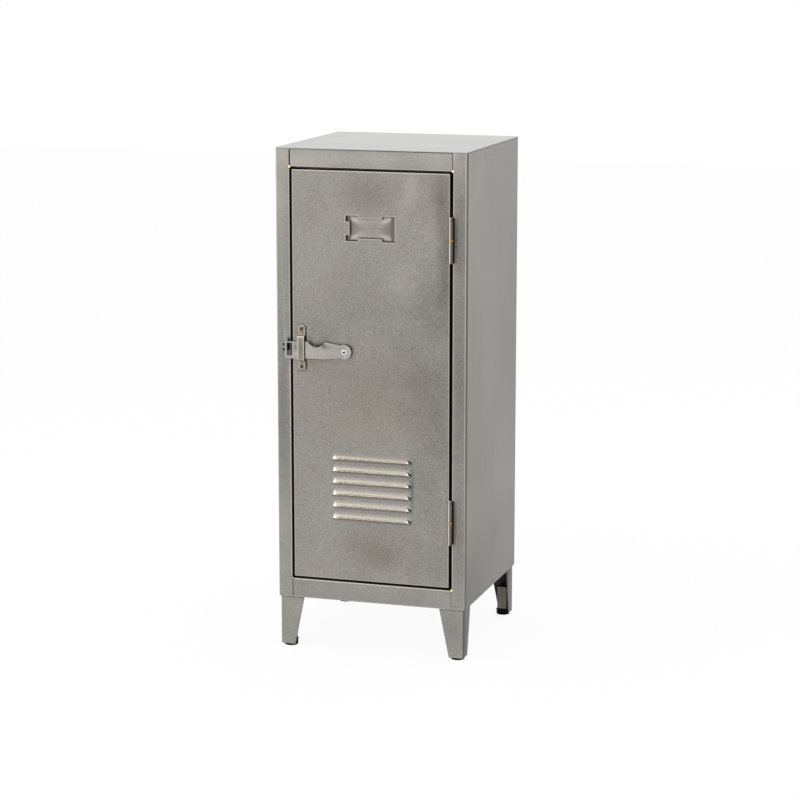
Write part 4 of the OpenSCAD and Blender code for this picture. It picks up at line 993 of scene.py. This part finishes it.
class Growth(Graph):
    """A geometry tree with named inputs, which ends in Realize Instances and Set Material."""

    def __init__(self, name, **inputs):
        super().__init__(bpy.data.node_groups.new(name, "GeometryNodeTree"))
        add_socket = self.tree.interface.new_socket
        for title, kind in spaced({**inputs, "Material": "Material"}).items():
            add_socket(title, in_out="INPUT", socket_type="NodeSocket" + kind)
        add_socket("Geometry", in_out="OUTPUT", socket_type="NodeSocketGeometry")
        self.given = self.add("NodeGroupInput").outputs

    def end(self, geometry):
        real = self.first("GeometryNodeRealizeInstances", Geometry=geometry)
        painted = self.first("GeometryNodeSetMaterial", Geometry=real, Material=self.given["Material"])
        self.add("NodeGroupOutput", {"Geometry": painted})
        return self.tree

    def keep(self, geometry, name, value):
        """Stores a value on the points under a name that materials can read."""
        made = self.add("GeometryNodeStoreNamedAttribute", {"Geometry": geometry, "Name": name})
        socket = next(s for s in made.inputs if s.name == "Value" and s.enabled)
        self.tree.links.new(value, socket)
        return made.outputs[0]

    def position(self):
        return self.parts(self.first("GeometryNodeInputPosition"))


def grown(name, tree, material, body, slot, replaced=(), angle=32, sheet=0.0, **values):
    """Runs a tree once and keeps its result as a plain mesh, as thick as its sheet where it is one."""
    work = new_object(name + "_seed", bpy.data.meshes.new(name + "_seed"))
    modifier = modify(work, "growth", "NODES", node_group=tree)
    values["Material"] = material
    for item in tree.interface.items_tree:
        if item.item_type == "SOCKET" and item.in_out == "INPUT":
            modifier[item.identifier] = values[item.name.replace(" ", "_")]
    if sheet:
        modify(work, "sheet", "SOLIDIFY", thickness=sheet, offset=-1)
    mesh = finished(work, angle)
    mesh.name = name
    new_piece(name, mesh, material, body, replaced)


def louvre_tree():
    """A row of pressed hoods, each a sheet drawn out towards a free lip, with round ends."""
    t = Growth("Louvre row", Count="Int", Pitch="Float", Length="Float", Height="Float", Stand="Float",
               End="Float", Place="Vector")
    given = t.given
    straight = 0.55
    sheet = t.first("GeometryNodeMeshGrid", Size_X=2.0, Size_Y=1.0, Vertices_X=80, Vertices_Y=22)
    at = t.position()
    half = t.over(given["Length"], 2.0)
    reach = t.math("ABSOLUTE", at["X"])
    beyond = t.math("MAXIMUM", t.minus(reach, straight), 0.0)
    turn = t.product(t.over(beyond, 1.0 - straight), pi / 2)
    taper = t.math("COSINE", turn)
    inner = t.product(t.math("MINIMUM", t.over(reach, straight), 1.0),
                      t.minus(half, given["End"]))
    width = t.math("ADD", inner, t.product(t.math("SINE", turn), given["End"]))
    x = t.product(t.math("SIGN", at["X"]), width)
    v = t.product(t.math("ADD", at["Y"], 0.5), 1.08)
    drawn = t.math("POWER", t.math("MAXIMUM", t.minus(1.0, v), 0.0), 1.45)
    sunk = t.product(t.math("MAXIMUM", t.minus(v, 0.95), 0.0), 1.2)
    y = t.product(t.minus(drawn, sunk), t.math("POWER", taper, 0.75), given["Stand"], -1.0)
    z = t.product(v, given["Height"], taper)
    marked = t.keep(t.keep(sheet, "rise", v), "run", t.over(x, half))
    shaped = t.first("GeometryNodeSetPosition", Geometry=marked, Position=t.xyz(x, y, z))
    merged = t.first("GeometryNodeMergeByDistance", Geometry=shaped, Distance=0.02 * MM)
    spots = t.first("GeometryNodeMeshLine", Count=given["Count"], Start_Location=given["Place"],
                    Offset=t.xyz(z=given["Pitch"]))
    return t.end(t.first("GeometryNodeInstanceOnPoints", Points=spots, Instance=merged))


def bead_tree():
    """Flattened domes at an opening's four corners, given by its low corner and size, the low left one smaller.
    """
    t = Growth("Braze beads", Corner="Vector", Width="Float", Height="Float", Radius="Float", Flatten="Float",
               Low_Share="Float")
    given = t.given
    lump_height = 0.9 * MM
    corner = t.first("GeometryNodeMeshGrid", Size_X=given["Width"], Size_Y=given["Height"],
                     Vertices_X=2, Vertices_Y=2)
    half = t.xyz(t.over(given["Width"], 2.0), 0.0, t.over(given["Height"], 2.0))
    upright = t.first("GeometryNodeTransform", Geometry=corner, Rotation=(radians(90), 0, 0),
                      Translation=t.vector("ADD", given["Corner"], half))
    points = t.first("GeometryNodeMeshToPoints", Mesh=upright)
    ball = t.first("GeometryNodeMeshIcoSphere", Radius=given["Radius"], Subdivisions=4)
    noise = t.first("ShaderNodeTexNoise", Scale=520.0, Detail=1.0)
    lump = t.product(t.minus(noise, 0.5), lump_height)
    swell = t.vector("MULTIPLY", t.first("GeometryNodeInputNormal"), t.xyz(lump, lump, lump))
    rough = t.first("GeometryNodeSetPosition", Geometry=ball, Offset=swell)
    squashed = t.first("GeometryNodeTransform", Geometry=rough, Scale=t.xyz(1.0, given["Flatten"], 1.0))
    spot = t.position()
    low_left = t.product(t.math("LESS_THAN", spot["Z"], 0.5), t.math("LESS_THAN", spot["X"], 0.0))
    share = t.minus(1.0, t.product(low_left, t.minus(1.0, given["Low Share"])))
    return t.end(t.first("GeometryNodeInstanceOnPoints", Points=points, Instance=squashed,
                         Scale=t.xyz(share, share, share)))


grown("louvre_hoods", louvre_tree(), louvre_steel, "door", "door_steel", angle=60, sheet=SHEET,
      Count=LOUVRES, Pitch=LOUVRE_PITCH, Length=LOUVRE_LENGTH, Height=LOUVRE_HEIGHT,
      Stand=LOUVRE_OUT, End=LOUVRE_END, Place=(louvre_x, face_y, louvre_z))

BEAD_OFF = 0.2 * MM
grown("corner_beads", bead_tree(), brass, "cabinet", "brass", ["braze_beads"],
      Corner=(opening_left - BEAD_OFF, face_y, opening_low - BEAD_OFF),
      Width=opening_right - opening_left + 2 * BEAD_OFF,
      Height=opening_high - opening_low + 2 * BEAD_OFF, Radius=2.4 * MM, Flatten=0.55, Low_Share=0.6)


# ---- finishes of the CAD nodes

CORNERS = ["front_left", "front_right", "back_left", "back_right"]


def paint(material, *names):
    for name in names:
        cover(nodes[name].data, material)


soften("left_side_panel", frame_steel, "cabinet")
soften("right_side_panel", frame_steel, "cabinet")
soften("top_panel", lit_top_steel, "cabinet")
for rail in ("top_rail", "bottom_rail"):
    soften(rail, frame_steel, "cabinet")
for corner in CORNERS:
    soften(corner + "_leg", leg_steel, "cabinet")
for knuckle, body in (("upper_frame_knuckle", "cabinet"), ("lower_frame_knuckle", "cabinet"),
                      ("upper_door_knuckle", "door"), ("lower_door_knuckle", "door")):
    soften(knuckle, hinge_steel, body, 0)
soften("latch_lever", lever_steel, "lever")
soften("latch_guide", strap_steel, "door")
soften("keeper_hook", black_steel, "cabinet", 0.2 * MM)

paint(inner_steel, "back_panel", "bottom_panel", "shelf", "left_shelf_rail", "right_shelf_rail",
      "latch_backing_plate")
paint(socket_steel, *[corner + "_foot_socket" for corner in CORNERS])
paint(rubber, "door_buffers", *[corner + "_foot" for corner in CORNERS])
paint(washer_brass, "upper_hinge_washer", "lower_hinge_washer")
paint(bright_zinc, "upper_hinge_pin", "lower_hinge_pin", "latch_pivot_rivet")
paint(strap_steel, "latch_spacer", "guide_rivets")
paint(black_steel, "keeper_rivets")


# ---- studio

FLOOR_GLOW = 0.93
SKY_LIGHT = 0.87
WHITE = (1, 1, 1, 1)


def background_rays(g):
    """1 for rays that show the background: the camera's, reflections and what is seen through glass."""
    path = g.add("ShaderNodeLightPath").outputs
    seen = g.math("MAXIMUM", path["Is Camera Ray"], path["Is Glossy Ray"])
    return g.math("MAXIMUM", seen, path["Is Transmission Ray"])


def make_floor():
    mesh = bpy.data.meshes.new("floor")
    reach = 8
    mesh.from_pydata([(-reach, -reach, 0), (reach, -reach, 0), (reach, reach, 0), (-reach, reach, 0)], [],
                     [(0, 1, 2, 3)])
    material = bpy.data.materials.new("pale floor")
    material.use_nodes = True
    g = Graph(material.node_tree)
    g.tree.nodes.clear()
    matt = g.first("ShaderNodeBsdfDiffuse", Color=(0.95, 0.95, 0.95, 1))
    white = g.first("ShaderNodeEmission", Color=WHITE, Strength=1.0)
    share = g.product(background_rays(g), FLOOR_GLOW)
    blend = g.add("ShaderNodeMixShader", {0: share, 1: matt, 2: white}).outputs[0]
    g.add("ShaderNodeOutputMaterial", {"Surface": blend})
    floor = new_object("floor", mesh)
    cover(mesh, material)


def make_world():
    world = bpy.data.worlds.new("studio")
    world.use_nodes = True
    g = Graph(world.node_tree)
    g.tree.nodes.clear()
    strength = g.ramp(background_rays(g), 0, 1, SKY_LIGHT, 1.0)
    sky = g.first("ShaderNodeBackground", Color=WHITE, Strength=strength)
    g.add("ShaderNodeOutputWorld", {"Surface": sky})
    bpy.context.scene.world = world


def softbox(name, place, width, height, radiance, aim=(0, 0, 0.45)):
    """An area lamp that points at the locker, given by its size and its brightness."""
    data = bpy.data.lights.new(name, "AREA")
    data.shape = "RECTANGLE"
    data.size, data.size_y = width, height
    data.energy = radiance * pi * width * height
    lamp = new_object(name, data)
    lamp.location = place
    lamp.rotation_euler = (Vector(aim) - Vector(place)).to_track_quat("-Z", "Y").to_euler()
    lamp.visible_camera = False


make_floor()
make_world()
softbox("overhead softbox", (-0.3, -1.1, 2.7), 1.8, 1.2, 2.2)
softbox("left softbox", (-2.2, -1.5, 1.3), 1.0, 1.8, 1.6)
softbox("rear softbox", (0.8, 2.4, 2.2), 1.6, 1.2, 0.9)

bpy.context.scene.view_settings.view_transform = "Standard"
